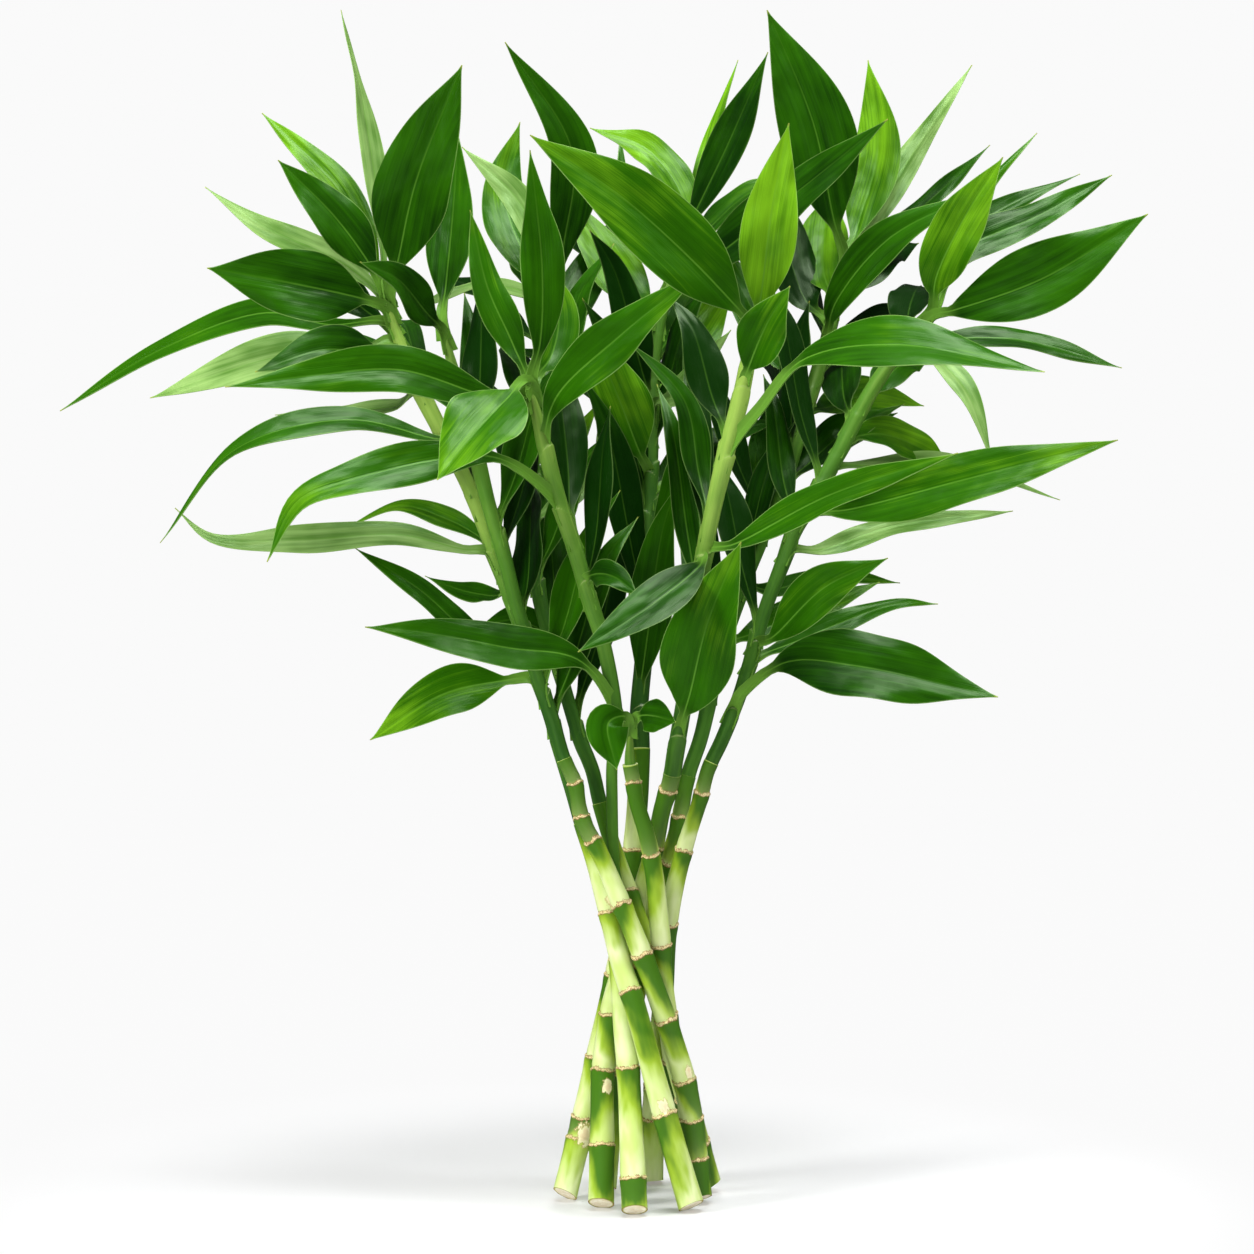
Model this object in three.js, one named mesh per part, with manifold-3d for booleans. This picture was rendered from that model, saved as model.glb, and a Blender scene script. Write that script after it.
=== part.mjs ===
import * as THREE from 'three';
import { mergeVertices } from 'three/addons/utils/BufferGeometryUtils.js';
import Module from 'manifold-3d';

// A spiralled bunch of nine lucky bamboo stalks that stands on its cut ends.
// Millimetres, +Z up, the front is -Y. Each stalk is a pale ringed cane below
// and a green leafy shoot above.

const wasm = await Module();
wasm.setup();

// Where the outlines below are seen from: level with the middle of the bunch, in front of it
const EYE = new THREE.Vector3(-6.5, -1300, 287.5);

// The middle of the bunch in those terms, which the finished part has at its origin
const MIDDLE = new THREE.Vector3(-20.3, 19.6, 0);

// Stalks
const STALK_SIDES = 8;
const CANE_STEP = 20;
const SHOOT_STEP = 30;
const SEAM_GAP = 0.3;
const RING_RISE = 0.45;
const RING_HALF = 1.5;
const RING_ROOM = 0.45;
const LEVEL = 6;
const LEAN_GAP = 0.45;
const FLAT_SHARE = 0.975;
const SETTLE_ROUNDS = 400;

// Cut ends
const CUT_SLANT = 0.5;
const CUT_CENTRE = new THREE.Vector2(0, 75);
const FOOT_FLAT = 0.5;
const FOOT_STUB = 14;
const CUT_BLOCK = 60;

// Leaves
const BLADE_THICK = 0.8;
const PETIOLE_WIDE = 5.2;
const PETIOLE_THICK = 2.4;
const TIP_WIDE = 1.4;
const WIDEST_AT = 0.4;
const FOLD = 0.2;
const WAVE = 1.2;
const WAVE_TURNS = 9;
const WAVE_LAG = 2.4;
const ROOT_RISE = 7;
const ROOT_RISE_SHARE = 0.3;
const ROOT_OUT = 3;
const SETTLE_BY = [0.4, 5];
const BASE_SHAPE = 1.05;
const END_SHAPE = 1.15;
const PETIOLE_LEAST = 8;
const PETIOLE_SHARE = 0.4;
const BLADE_STEPS = [0.03, 0.2, 0.42, 0.72, 1];
const FILL_STEPS = [0.08, 0.45, 1];
const CLEAR = 1.1;
const OUTER_PART = 0.4;
const ROOM_COST = 0.05;
const MEET_COST = 100;
const BEND_COST = 1e-4;
const BENDS = [0, -8, 8, -16, 16, -24, 24, -34, 34, -46, 46, -60, 60];
const FILL_BENDS = [0, 8, 16, 24, 34, 46, 60];

const CANE_GREEN = new THREE.MeshStandardMaterial({ color: 0xb4cf62, roughness: 0.45, metalness: 0 });
const LEAF_GREEN = new THREE.MeshStandardMaterial({ color: 0x2c7a22, roughness: 0.38, metalness: 0 });

// Half thickness of an ordinary stalk at a height: [height, radius]
const GIRTH = [
  [-20, 6.9], [30, 6.3], [75, 5.6], [125, 5.2], [155, 4.9], [180, 4.3], [205, 3.9],
  [256, 3.6], [330, 3.8], [400, 4.2], [440, 3.4], [490, 2.4],
];

// The stalks, from the foot up. A path point is [x, height, depth], x and height as seen from EYE
// on the plane through the origin, depth along +Y. The seam is where the leafy shoot begins.
const STALKS = {
  a: {
    seam: 227,
    girth: [[-20, 6.8], [75, 5.7], [130, 5.3], [160, 5.2], [205, 5.6], [240, 5], [330, 4.2], [400, 4],
      [480, 2.4]],
    rings: [32, 42, 72, 113, 176],
    path: [[-38.5, 0, 2], [-28.3, 42, 5], [-21.7, 72, 8], [-12.7, 112, 12], [-7, 143, 15], [-4, 171, 17],
      [-2, 190, 19], [-1, 204, 20], [0, 228, 23], [-0.5, 244, 25], [2.5, 281, 30], [4, 321, 36],
      [5, 361, 42], [6, 401, 47], [8, 430, 50], [12.5, 451, 52], [19, 474, 53]],
  },
  b: {
    seam: 214,
    girth: [[-20, 6.9], [75, 5.7], [125, 5.2], [155, 5], [180, 4.6], [205, 4.6], [256, 4.3], [330, 4.2],
      [400, 4.4], [442, 3.4]],
    rings: [29, 66, 93, 140, 178, 206],
    path: [[-19.5, -4, -18], [-19, 29.5, -14], [-18.5, 66.5, -8], [-15, 93.5, -3], [-11.5, 108.5, 0],
      [-4, 136, 4], [2.5, 161, 3], [7.5, 178.5, 0], [11, 196, -4], [15.5, 211, -8], [18, 226, -12],
      [23, 256, -20], [27.5, 291, -29], [31.5, 321, -37], [36.5, 346, -44], [43.5, 376, -52],
      [50, 401, -58], [55, 426, -64], [58.5, 442, -67]],
  },
  c: {
    seam: 160,
    girth: [[-20, 6.8], [75, 5.6], [125, 4.9], [158, 4.1], [166, 3.2], [220, 3.1], [245, 3.9], [330, 4],
      [400, 4], [408, 3.4]],
    rings: [12.5, 67, 121],
    path: [[-2.5, -7.5, -33], [-3.5, 13.5, -31], [-6, 67, -24], [-8, 86, -20], [-10.5, 121, -13],
      [-12, 151, -9], [-13.5, 176, -8], [-14, 201, -9], [-14, 218.5, -10], [-12, 240, -13],
      [-18.5, 280, -20], [-26, 303, -25], [-31, 321, -29], [-39, 346, -35], [-46, 371, -41],
      [-51, 391, -46], [-54, 405, -50]],
  },
  d: {
    seam: 220,
    rings: [43, 58, 139.5, 176, 204.5],
    path: [[5.5, 10, 45], [6.5, 42, 33], [11.5, 101, 13], [14, 139.5, 3], [22, 176, -2], [30, 201, -4],
      [34, 216, -5], [41, 231, -5], [49, 251, -4], [55, 270, -2], [62.5, 296, 1], [70, 316, 4],
      [77.5, 336, 8], [86, 351, 11], [100, 376, 16], [113, 401, 20], [124, 418, 22], [142.5, 440, 24]],
  },
  e: {
    seam: 190,
    rings: [44.5, 106, 145],
    path: [[26.5, -5, -22], [12, 45, -26], [-3, 99.5, -24], [-10, 121, -19], [-15.8, 145, -12],
      [-23, 171, -9], [-28, 186, -8], [-34, 206, -8], [-40, 226, -8], [-47.5, 251, -8], [-57.5, 281, -9],
      [-70, 316, -12], [-85, 356, -16], [-105, 396, -20], [-118, 423, -23], [-126, 450, -26]],
  },
  f: {
    seam: 221.5,
    rings: [22, 42, 61.5, 91.5, 124, 149, 180.5, 192.5, 209.5],
    path: [[30, -1, -4], [25.5, 42, -8], [22, 61.5, -12], [13, 91, -20], [1, 124, -25], [-9.5, 149.5, -24],
      [-20, 174, -22], [-26.5, 186, -21], [-30, 195, -20], [-32.5, 209.5, -20], [-38, 221.5, -20],
      [-43.5, 240, -20], [-50, 258, -20], [-56.5, 281, -22], [-62.5, 301, -24], [-67.5, 321, -26],
      [-75, 346, -28], [-82.5, 376, -31], [-91, 406, -34], [-97.5, 433, -36]],
  },
  g: {
    seam: 219,
    rings: [30.5, 52.5, 94, 128.5, 173.5, 210],
    path: [[35.5, 5.6, 26], [28.5, 30.5, 15], [23.3, 52.5, 8], [18, 71, 3], [13, 96, -5], [11, 116, -11],
      [10.5, 129, -14], [9, 146, -17], [7.5, 161, -19], [3.5, 183, -22], [-2, 201, -24], [-3.5, 211, -25],
      [-5, 219, -26], [-5, 234, -28]],
  },
  h: {
    seam: 199.5,
    rings: [71, 111, 155],
    path: [[24, 9, 42], [19, 50, 23], [14, 91, 5], [8, 113.5, -0.5], [0, 138.5, -5], [-10, 167, 0],
      [-20, 199.5, 4], [-24, 216.5, 5], [-30, 231, 7], [-37.5, 256, 10], [-45, 281, 14], [-51, 306, 19],
      [-54, 336, 26], [-54, 366, 34], [-51, 396, 42], [-47, 426, 49], [-43, 451, 54]],
  },
  r: {
    seam: 213,
    girth: [[-20, 6.7], [75, 5.6], [125, 5.2], [160, 4.9], [180, 4.6], [205, 4.1], [256, 3.9], [330, 3.9],
      [400, 4.1], [466, 3]],
    rings: [64.5, 118, 138.5, 169.5, 192.5],
    path: [[-18, 6, 28], [-11, 71, 20], [-3, 101, 15], [1, 121, 12], [10, 153.5, 9], [13.5, 169.5, 8],
      [18, 183, 7], [24, 213, 8], [30, 231, 10], [36, 256, 14], [42.5, 281, 19], [52.5, 311, 26],
      [62.5, 336, 33], [72.5, 361, 40], [80, 386, 47], [87.5, 411, 54], [95, 436, 60], [102, 466, 66]],
  },
};

// The leaves: [stalk, height of its root, width, turn, points out to the tip]. A width may come
// with the length of the leaf's own stalk. A turn of 0 faces the front, 90 faces up or right, and
// a pair turns from root to tip. Points are as on the stalk paths.
const LEAVES = [
  ['e', 441, 39, 10, [-121, 470, -36], [-112, 510, -50], [-89, 568.5, -66]],
  ['e', 446, 24, 15, [-136, 470, -30], [-153, 493, -36], [-181, 521, -42]],
  ['e', 438, 35, 5, [-137, 451, -38], [-170, 458.5, -54], [-216.5, 467, -62]],
  ['e', 448, 16, [50, 65], [-129, 480, -22], [-134, 521, -18], [-141, 560, -10], [-149.5, 596, -4]],
  ['e', 448, 20, 25, [-138, 480, -14], [-152, 508, -4], [-189, 544.5, 10]],
  ['e', 440, 17, 35, [-147.5, 468.5, -6], [-190, 488.5, 12], [-217.5, 507.5, 22]],
  ['e', 432, 17, 30, [-155, 438.5, -18], [-187.5, 444.5, -8], [-240, 426, 0], [-290, 395.5, 6]],
  ['e', 424, 27, [20, 40], [-140, 424, -34], [-178, 423, -44], [-245, 402, -50]],
  ['e', 418, 24, 20, [-132, 424, -40], [-158, 426, -58], [-192.5, 415, -70]],
  ['e', 398, 14, 55, [-122, 398, -4], [-145, 396, 12], [-182.5, 393.5, 30]],
  ['e', 318, 17, [25, 40], [-88, 326, -20], [-120, 333.5, -30], [-170, 331, -38], [-214, 332, -42],
    [-232.5, 347, -42]],
  ['e', 314, 14, 45, [-80, 332, -2], [-98, 342, 10], [-120, 348, 18], [-145, 338.5, 26]],
  ['e', 274, 15, 30, [-82, 283, -20], [-110, 306, -28], [-142.5, 327, -32]],
  ['e', 296, 12, 40, [-74, 303, 8], [-90, 306, 20], [-107.5, 313, 32]],
  ['e', 256, 26, 20, [-64, 261, -12], [-98, 254, -22], [-135, 231, -30]],
  ['f', 431, 24, 20, [-97, 458, -26], [-93, 500, -10], [-91, 535, 2]],
  ['f', 374, 17, [35, 55], [-100, 381, -42], [-145, 391, -58], [-202.5, 376, -74], [-240, 329.5, -86]],
  ['f', 425, 20, 30, [-108, 446, -60], [-122, 462, -88], [-140, 470, -112]],
  ['c', 396, 24, 15, [-72, 402, -60], [-120, 416, -82], [-165, 413, -94], [-207.5, 407.5, -104]],
  ['c', 340, [22, 45], 25, [-60, 366, -52], [-78, 373, -64], [-145, 361, -92], [-171, 350, -100],
    [-186.5, 320, -104]],
  ['c', 238, [25, 34], 30, [-31, 271, -34], [-66, 277, -52], [-110, 285, -66], [-137.5, 287.5, -74]],
  ['c', 402, 22, 20, [-50, 430, -56], [-49, 466, -62], [-55, 526, -68]],
  ['c', 399, 18, 15, [-65, 432, -46], [-76.5, 458, -44], [-85, 496, -42]],
  ['c', 400, 21, 15, [-44, 424, -34], [-41, 446, -26], [-53.5, 473, -20]],
  ['c', 403, 38, 25, [-66, 402, -74], [-82, 385, -92], [-101.5, 361, -106]],
  ['c', 370, 24, 15, [-42, 402, -58], [-10, 433, -76], [31, 466, -92]],
  ['c', 303, 15, 20, [-22, 314, -40], [-12, 312, -52], [-1, 303, -60]],
  ['h', 448, 25, 15, [-38, 480, 44], [-34, 525, 28], [-67.5, 580, 8]],
  ['h', 449, 18, 20, [-50, 478, 62], [-62, 502, 68], [-89, 527.5, 70]],
  ['h', 446, 29, 15, [-56, 470, 76], [-68, 506, 100], [-60, 540, 112]],
  ['h', 440, 12, 45, [-58, 455, 26], [-82, 458, 6], [-115, 446, -8]],
  ['h', 262, 17, 25, [-46, 283, 18], [-64, 291, 26], [-82.5, 286, 32]],
  ['h', 350, 16, 30, [-46, 364, 58], [-36, 376, 78], [-20, 401, 96]],
  ['h', 330, 12, 40, [-44, 346, 44], [-30, 356, 56], [-16, 378.5, 66]],
  ['h', 415, 26, 20, [-38, 442, 74], [-22, 470, 92], [-6, 500, 106]],
  ['a', 472, 21, 20, [45, 531, 42], [64, 575, 34]],
  ['a', 470, 22, 25, [22, 500, 62], [4, 526, 72], [-25, 537, 78]],
  ['a', 455, 13, 20, [2, 484, 84], [-8, 510, 104], [-10, 535, 116]],
  ['a', 472, 12, 40, [32, 515, 76], [40, 545, 88], [49, 571, 96]],
  ['a', 452, 27, 20, [34, 470, 34], [80, 506, 22], [124, 541.5, 12]],
  ['a', 356, 31, 10, [0, 374, 30], [-10, 400, 20], [-25, 436, 14]],
  ['a', 398, 27, 20, [18, 418, 66], [30, 436, 82], [47, 462, 98]],
  ['a', 390, 14, 30, [18, 404, 22], [30, 418, 8], [45.5, 436, -4]],
  ['a', 322, 24, 15, [12, 340, 62], [18, 362, 84], [22, 392, 104]],
  ['a', 340, 18, 25, [-2, 356, 62], [-14, 372, 84], [-20, 398, 106]],
  ['a', 430, 27, 20, [-4, 454, 74], [-22, 480, 88], [-40, 506, 98]],
  ['b', 426, 38, 12, [44, 452, -86], [-5, 499, -112], [-55, 533.5, -124]],
  ['b', 436, [27, 8], 0, [61, 457, -75], [66, 497, -84], [74.5, 539.5, -92]],
  ['b', 400, 24, 15, [56.5, 423, -74], [64, 440, -84], [75, 458, -92]],
  ['b', 366, [31, 62], [30, 45], [60, 396, -66], [82, 421, -82], [128, 428.5, -106], [202.5, 415, -128]],
  ['b', 318, 18, 25, [46.5, 328.5, -48], [95, 353.5, -62], [159, 374.5, -76]],
  ['b', 316, 23, 25, [30, 318, -54], [8, 300, -72], [-31, 275, -88]],
  ['b', 226, 37, 15, [25, 254, -36], [34, 290, -56], [50.5, 330, -70]],
  ['b', 330, 15, 20, [29, 366, -28], [22, 401, -22], [-5, 430, -20]],
  ['r', 430, 30, 20, [82, 452, 76], [74, 478, 90], [72, 506, 102]],
  ['r', 462, 41, 10, [97, 490, 58], [87, 538, 50], [63.5, 596, 44]],
  ['r', 464, 27, 15, [110, 492, 78], [119, 528, 90], [114, 571, 98]],
  ['r', 463, 17, 25, [114, 488, 92], [137.5, 526, 112], [166, 568.5, 126]],
  ['r', 458, 14, 35, [118, 478, 76], [142, 498, 80], [175, 528.5, 82]],
  ['r', 424, 22, 25, [98, 450, 32], [125, 482, 12], [172.5, 506, 0]],
  ['r', 440, 29, 15, [92, 464, 84], [92, 486, 108], [96, 506, 132]],
  ['r', 350, 21, 20, [64, 366, 70], [64, 384, 94], [67, 404, 118]],
  ['r', 270, 20, 25, [56, 284, 34], [88, 297, 48], [120, 310, 58]],
  ['r', 300, 13, 35, [66, 306, 46], [96, 313, 62], [130, 309.5, 74]],
  ['r', 386, 24, 30, [96, 398, 72], [118, 404, 98], [142, 398, 120]],
  ['r', 398, 26, 25, [68, 424, 76], [52, 454, 94], [34, 486, 108]],
  ['d', 438, 28, 20, [148, 462, 4], [161, 490, -10], [181.5, 522.5, -20]],
  ['d', 436, 36, 15, [158, 446, 6], [202, 462, -8], [254, 494, -16]],
  ['d', 439, 22, 25, [160, 474, 34], [200, 493.5, 44], [236, 513.5, 50]],
  ['d', 438, 15, 30, [158, 480, 54], [184, 498, 70], [220, 514, 82]],
  ['d', 438, 13, 35, [154, 478, 66], [176, 510, 90], [198.5, 534.5, 106]],
  ['d', 428, 17, 40, [150, 432, 28], [190, 431, 26], [241, 417, 22]],
  ['d', 424, 13, 35, [148, 422, -4], [164, 404, -18], [177.5, 366, -28]],
  ['d', 336, 31, 28, [104, 346, -8], [162, 361, -28], [239, 381, -42]],
  ['d', 372, 23, 30, [118, 384, 38], [138, 378, 56], [158.5, 365.5, 72]],
  ['d', 360, 13, 35, [120, 368, 44], [160, 368, 62], [210, 351, 78]],
  ['d', 318, 14, 35, [90, 326, 18], [128, 338, 24], [186.5, 345.5, 28]],
  ['d', 272, 24, 22, [66, 282, -14], [92, 307, -28], [124, 322, -36]],
  ['d', 262, 14, 30, [80, 281, 14], [128, 299, 22], [149, 299, 26]],
  ['d', 238, [37, 42], 25, [52, 255, -18], [74, 270, -30], [108, 268, -44], [179, 252.5, -58]],
  ['d', 345, 17, 30, [98, 352, 40], [108, 358, 60], [117, 368, 82]],
  ['g', 232, 21, 0, [-8, 243, -38], [-16, 239, -46], [-11.5, 216, -50]],
  ['g', 233, 17, 10, [0, 243, -36], [7, 243, -42], [18, 240, -46]],
];

// Leaves that fill the bunch: for each stalk, how many, the heights they grow between, the heading
// they fan about and the width of that fan, in degrees from +X towards +Y, their reach and rise
const FILL_SEED = 7;
const FILL_VARY = [0.75, 1.2];
const FILL_WIDE = [15, 25];
const FILL_TURN = [20, 55];
const FILLS = [
  ['a', 5, 340, 470, 90, 130, 90, 60],
  ['h', 5, 330, 448, 125, 100, 90, 60],
  ['r', 5, 340, 460, 70, 90, 90, 60],
  ['d', 4, 340, 436, 60, 60, 85, 50],
  ['e', 4, 340, 446, 125, 60, 85, 50],
  ['a', 6, 232, 400, 90, 300, 38, 115],
  ['h', 5, 215, 380, 80, 180, 38, 110],
  ['r', 5, 225, 380, 110, 180, 38, 110],
  ['d', 4, 232, 370, 120, 100, 40, 100],
  ['e', 4, 215, 360, 75, 100, 40, 100],
  ['f', 4, 232, 380, 70, 90, 38, 100],
  ['b', 4, 226, 380, 110, 90, 38, 100],
  ['c', 4, 200, 350, 90, 120, 38, 100],
];

// Seeded draw between two limits
let drawn = FILL_SEED;
function draw(low, high) {
  drawn = (drawn * 16807) % 2147483647;
  return low + ((high - low) * drawn) / 2147483647;
}

// A place given as seen from EYE, put at its depth
function seen(x, height, depth) {
  const grow = (depth - EYE.y) / -EYE.y;
  return new THREE.Vector3(EYE.x + (x - EYE.x) * grow, depth, EYE.z + (height - EYE.z) * grow);
}

// The same place as it is seen from EYE
function asSeen(point) {
  const grow = (point.y - EYE.y) / -EYE.y;
  return [EYE.x + (point.x - EYE.x) / grow, EYE.z + (point.z - EYE.z) / grow, point.y];
}

// Straight-line value of a table at a height
function valueAt(table, height) {
  let k = 1;
  while (k < table.length - 1 && table[k][0] < height) k += 1;
  const [h0, v0] = table[k - 1];
  const [h1, v1] = table[k];
  const t = THREE.MathUtils.clamp((height - h0) / (h1 - h0), 0, 1);
  return v0 + (v1 - v0) * t;
}

// A smooth path through the given points, read at even levels of height
function readPath(path) {
  const curve = new THREE.CatmullRomCurve3(path.map(([x, h, d]) => new THREE.Vector3(x, d, h)));
  const fine = curve.getPoints(path.length * 12);
  const foot = fine[0].z;
  const top = fine[fine.length - 1].z;
  const levels = [];
  for (let n = Math.ceil(-FOOT_STUB / LEVEL); n * LEVEL < top + LEVEL; n += 1) {
    const height = n * LEVEL;
    let k = 1;
    while (k < fine.length - 1 && fine[k].z < height) k += 1;
    const a = fine[k - 1];
    const b = fine[k];
    const t = (height - a.z) / (b.z - a.z);
    levels.push({ x: a.x + (b.x - a.x) * t, h: height, y: a.y + (b.y - a.y) * t });
  }
  return { foot, top, levels };
}

// Lets the stalks lean on each other: pairs that are too close move apart in depth alone,
// which keeps how they are seen from the front
function settle(stalks) {
  const names = Object.keys(stalks);
  const first = new Map();
  names.forEach((name) => {
    const s = stalks[name];
    s.levels.forEach((p, n) => {
      const q = s.levels[Math.max(n - 1, 0)];
      const r = s.levels[Math.min(n + 1, s.levels.length - 1)];
      p.lean = (r.h - q.h) / Math.hypot(r.h - q.h, r.x - q.x);
      p.dip = (r.h - q.h) / Math.hypot(r.h - q.h, r.y - q.y);
      p.r = valueAt(s.girth, p.h) * FLAT_SHARE + RING_RISE / 2;
      p.shift = 0;
    });
    first.set(name, s.levels.map((p) => p.y));
  });
  for (let round = 0; round < SETTLE_ROUNDS; round += 1) {
    for (let i = 0; i < names.length; i += 1) {
      for (let j = i + 1; j < names.length; j += 1) {
        const a = stalks[names[i]].levels;
        const b = stalks[names[j]].levels;
        for (let n = 0; n < Math.min(a.length, b.length); n += 1) {
          const across = (a[n].x - b[n].x) * Math.min(a[n].lean, b[n].lean);
          const need = a[n].r + b[n].r + LEAN_GAP;
          if (Math.abs(across) < need) {
            const apart = Math.sqrt(need * need - across * across) / Math.min(a[n].dip, b[n].dip);
            const side = Math.sign(first.get(names[i])[n] - first.get(names[j])[n]);
            const lack = apart - side * (a[n].y - b[n].y);
            if (lack > 0) {
              a[n].y += (side * lack) / 2;
              b[n].y -= (side * lack) / 2;
            }
          }
        }
      }
    }
    const blend = 0.5 * (1 - round / SETTLE_ROUNDS);
    names.forEach((name) => {
      const levels = stalks[name].levels;
      const start = first.get(name);
      const moved = levels.map((p, n) => p.y - start[n]);
      levels.forEach((p, n) => {
        const near = (moved[Math.max(n - 1, 0)] + moved[Math.min(n + 1, moved.length - 1)]) / 2;
        p.y = start[n] + moved[n] + (near - moved[n]) * blend;
      });
    });
  }
}

// Centre of a stalk at a height, as it really lies, and its direction there
function stalkAt(stalk, height) {
  const n = THREE.MathUtils.clamp((height - stalk.levels[0].h) / LEVEL, 0, stalk.levels.length - 1.001);
  const k = Math.floor(n);
  const t = n - k;
  const p = (i) => stalk.levels[THREE.MathUtils.clamp(i, 0, stalk.levels.length - 1)];
  const smooth = (key) => {
    const [a, b, c, d] = [p(k - 1)[key], p(k)[key], p(k + 1)[key], p(k + 2)[key]];
    return b + 0.5 * t * (c - a + t * (2 * a - 5 * b + 4 * c - d + t * (3 * (b - c) + d - a)));
  };
  return seen(smooth('x'), height, smooth('y'));
}

function stalkAlong(stalk, height) {
  return stalkAt(stalk, height + 2).sub(stalkAt(stalk, height - 2)).normalize();
}

// A closed mesh as a solid, and back
function solid(geometry) {
  const plain = geometry.clone();
  plain.deleteAttribute('normal');
  plain.deleteAttribute('uv');
  const merged = mergeVertices(plain, 1e-4);
  return new wasm.Manifold(new wasm.Mesh({
    numProp: 3,
    vertProperties: new Float32Array(merged.attributes.position.array),
    triVerts: new Uint32Array(merged.index.array),
  }));
}

function fromSolid(body) {
  const mesh = body.getMesh();
  const geometry = new THREE.BufferGeometry();
  geometry.setAttribute('position', new THREE.BufferAttribute(new Float32Array(mesh.vertProperties), 3));
  geometry.setIndex(new THREE.BufferAttribute(new Uint32Array(mesh.triVerts), 1));
  return geometry;
}

// Directions across a stalk
function across(along) {
  const side = new THREE.Vector3().crossVectors(new THREE.Vector3(0, 1, 0), along).normalize();
  const other = new THREE.Vector3().crossVectors(side, along);
  return [side, other];
}

// A round bar through stations { at, along, r }, closed at both ends
function bar(stations) {
  const rows = stations.length - 1;
  const geometry = new THREE.CylinderGeometry(1, 1, 1, STALK_SIDES, rows);
  const position = geometry.attributes.position;
  for (let n = 0; n < position.count; n += 1) {
    const station = stations[Math.round((position.getY(n) + 0.5) * rows)];
    const [side, other] = across(station.along);
    const point = station.at.clone();
    point.addScaledVector(side, position.getX(n) * station.r);
    point.addScaledVector(other, position.getZ(n) * station.r);
    position.setXYZ(n, point.x, point.y, point.z);
  }
  return geometry;
}

// A stretch of a stalk with a raised ring at each joint
function stalkBar(stalk, from, to, step, rings) {
  const joints = rings.filter((h) => h > from + RING_HALF && h < to - RING_HALF);
  const steps = Math.max(2, Math.round((to - from) / step));
  const marks = [[from, 0], [to, 0]];
  for (let n = 1; n < steps; n += 1) {
    const height = from + ((to - from) * n) / steps;
    if (joints.every((h) => Math.abs(height - h) > step * RING_ROOM)) marks.push([height, 0]);
  }
  joints.forEach((h) => marks.push([h - RING_HALF, 0], [h, RING_RISE], [h + RING_HALF, 0]));
  marks.sort((a, b) => a[0] - b[0]);
  return bar(marks.map(([h, rise]) => ({
    at: stalkAt(stalk, h),
    along: stalkAlong(stalk, h),
    r: valueAt(stalk.girth, h) + rise,
  })));
}

// A cane: ringed, cut on a slant at its foot, with a small flat where it stands
function makeCane(stalk) {
  const foot = asSeen(new THREE.Vector3(stalkAt(stalk, stalk.foot).x, stalkAt(stalk, stalk.foot).y, 0));
  const low = Math.max(foot[1] - FOOT_STUB, stalk.levels[0].h);
  const cane = solid(stalkBar(stalk, low, stalk.seam - SEAM_GAP / 2, CANE_STEP, stalk.rings));
  const at = stalkAt(stalk, foot[1]);
  const down = stalkAlong(stalk, foot[1]).negate();
  const out = new THREE.Vector2(at.x, at.y).sub(CUT_CENTRE).normalize();
  const face = down.clone().add(new THREE.Vector3(out.x, out.y, 0).multiplyScalar(CUT_SLANT)).normalize();
  const [side, other] = across(down.clone().negate());
  let lowest = 0;
  for (let n = 0; n < STALK_SIDES; n += 1) {
    const turn = (n / STALK_SIDES) * 2 * Math.PI;
    const rim = side.clone().multiplyScalar(Math.sin(turn)).addScaledVector(other, Math.cos(turn));
    rim.multiplyScalar(valueAt(stalk.girth, foot[1]));
    lowest = Math.min(lowest, rim.z - (down.z * face.dot(rim)) / face.dot(down));
  }
  const lift = (-FOOT_FLAT - lowest - at.z) / -down.z;
  const cutAt = at.clone().addScaledVector(down, -lift);
  const cube = new THREE.BoxGeometry(CUT_BLOCK, CUT_BLOCK, CUT_BLOCK);
  const block = cube.clone().translate(0, 0, CUT_BLOCK / 2);
  block.applyQuaternion(new THREE.Quaternion().setFromUnitVectors(new THREE.Vector3(0, 0, 1), face));
  block.translate(cutAt.x, cutAt.y, cutAt.z);
  const ground = cube.translate(at.x, at.y, -CUT_BLOCK / 2);
  return cane.subtract(solid(block)).subtract(solid(ground));
}

// Width of a blade along its length, as a share of its greatest width
function outline(q) {
  if (q < WIDEST_AT) return Math.sin((Math.PI / 2) * (q / WIDEST_AT)) ** BASE_SHAPE;
  return Math.cos((Math.PI / 2) * ((q - WIDEST_AT) / (1 - WIDEST_AT))) ** END_SHAPE;
}

// The line of a leaf's rib from the middle of its stalk to its tip
function ribCurve(leaf, stalk, bend) {
  const root = stalkAt(stalk, leaf.root);
  const up = stalkAlong(stalk, leaf.root);
  const count = leaf.points.length;
  const out = leaf.points.map(([x, h, d], n) => seen(x, h, d + (bend * (n + 1)) / count));
  const away = out[0].clone().sub(root);
  const start = root.clone().addScaledVector(up, Math.min(ROOT_RISE, away.length() * ROOT_RISE_SHARE));
  start.addScaledVector(away.normalize(), ROOT_OUT);
  return new THREE.CatmullRomCurve3([root, start, ...out], false, 'centripetal');
}

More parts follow.
